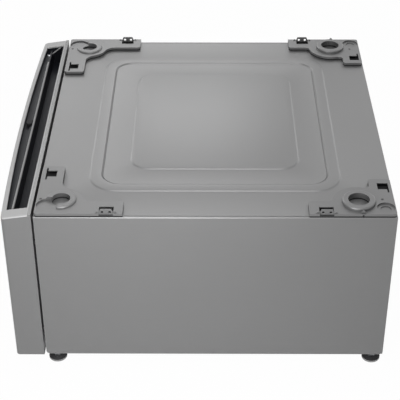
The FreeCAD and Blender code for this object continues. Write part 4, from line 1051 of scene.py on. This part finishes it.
class PEDESTAL_OT_cabinet(PieceOperator, bpy.types.Operator):
    """Dress the panels, posts, rails, nuts and buffers of the cabinet"""
    bl_idname = "pedestal.cabinet"
    bl_label = "Cabinet"

    def make(self):
        make_cabinet()


class PEDESTAL_OT_top_sheet(PieceOperator, bpy.types.Operator):
    """Press the embossed top sheet"""
    bl_idname = "pedestal.top_sheet"
    bl_label = "Top sheet"

    def make(self):
        make_top_sheet()


class PEDESTAL_OT_corner_plates(PieceOperator, bpy.types.Operator):
    """Round the raised corner plates and put painted shade under their openings"""
    bl_idname = "pedestal.corner_plates"
    bl_label = "Corner plates"

    def make(self):
        for corner in CORNERS:
            make_corner_plate(corner)
            make_slot_shade_pads(corner)


class PEDESTAL_OT_drawer_front(PieceOperator, bpy.types.Operator):
    """Dress the drawer front and its grip pocket"""
    bl_idname = "pedestal.drawer_front"
    bl_label = "Drawer front"

    def make(self):
        make_drawer_front()


class PEDESTAL_OT_bin(PieceOperator, bpy.types.Operator):
    """Dress the drawer's bin"""
    bl_idname = "pedestal.bin"
    bl_label = "Bin"

    def make(self):
        make_bin()


class PEDESTAL_OT_slides(PieceOperator, bpy.types.Operator):
    """Dress the ball-bearing slides"""
    bl_idname = "pedestal.slides"
    bl_label = "Slides"

    def make(self):
        make_slides()


class PEDESTAL_OT_feet(PieceOperator, bpy.types.Operator):
    """Make the ribbed feet and their threaded studs"""
    bl_idname = "pedestal.feet"
    bl_label = "Levelling feet"

    def make(self):
        for corner in CORNERS:
            make_foot_pad(corner)
            make_stud(corner)


class PEDESTAL_OT_fasteners(PieceOperator, bpy.types.Operator):
    """Make the screws and rivets"""
    bl_idname = "pedestal.fasteners"
    bl_label = "Screws and rivets"

    def make(self):
        make_screws()
        make_rivets()


class PEDESTAL_OT_stage(PieceOperator, bpy.types.Operator):
    """Set up the floor, the light and the camera"""
    bl_idname = "pedestal.stage"
    bl_label = "Stage"

    def make(self):
        make_stage()


OPERATORS = (PEDESTAL_OT_finishes, PEDESTAL_OT_cabinet, PEDESTAL_OT_top_sheet,
             PEDESTAL_OT_corner_plates, PEDESTAL_OT_drawer_front, PEDESTAL_OT_bin,
             PEDESTAL_OT_slides, PEDESTAL_OT_feet, PEDESTAL_OT_fasteners, PEDESTAL_OT_stage)


class PEDESTAL_PT_panel(bpy.types.Panel):
    """Lists the operators and what can be changed"""
    bl_idname = "PEDESTAL_PT_panel"
    bl_label = "Laundry pedestal"
    bl_space_type = "VIEW_3D"
    bl_region_type = "UI"
    bl_category = "Pedestal"

    def draw(self, context):
        for operator in OPERATORS:
            self.layout.operator(operator.bl_idname)
        pedestal = context.scene.pedestal
        for name in PedestalSettings.__annotations__:
            box = self.layout.box()
            group = getattr(pedestal, name)
            box.label(text=name.capitalize())
            for member in type(group).__annotations__:
                box.prop(group, member)


CLASSES = (*SETTINGS, PedestalSettings, *OPERATORS, PEDESTAL_PT_panel)


def register():
    for each in CLASSES:
        bpy.utils.register_class(each)
    bpy.types.Scene.pedestal = PointerProperty(type=PedestalSettings)


def unregister():
    del bpy.types.Scene.pedestal
    for each in reversed(CLASSES):
        bpy.utils.unregister_class(each)


def main():
    register()
    bpy.ops.pedestal.finishes()
    bpy.ops.pedestal.cabinet()
    bpy.ops.pedestal.top_sheet()
    bpy.ops.pedestal.corner_plates()
    bpy.ops.pedestal.drawer_front()
    bpy.ops.pedestal.bin()
    bpy.ops.pedestal.slides()
    bpy.ops.pedestal.feet()
    bpy.ops.pedestal.fasteners()
    bpy.ops.pedestal.stage()
    bpy.context.view_layer.update()


if __name__ == "__main__":
    main()
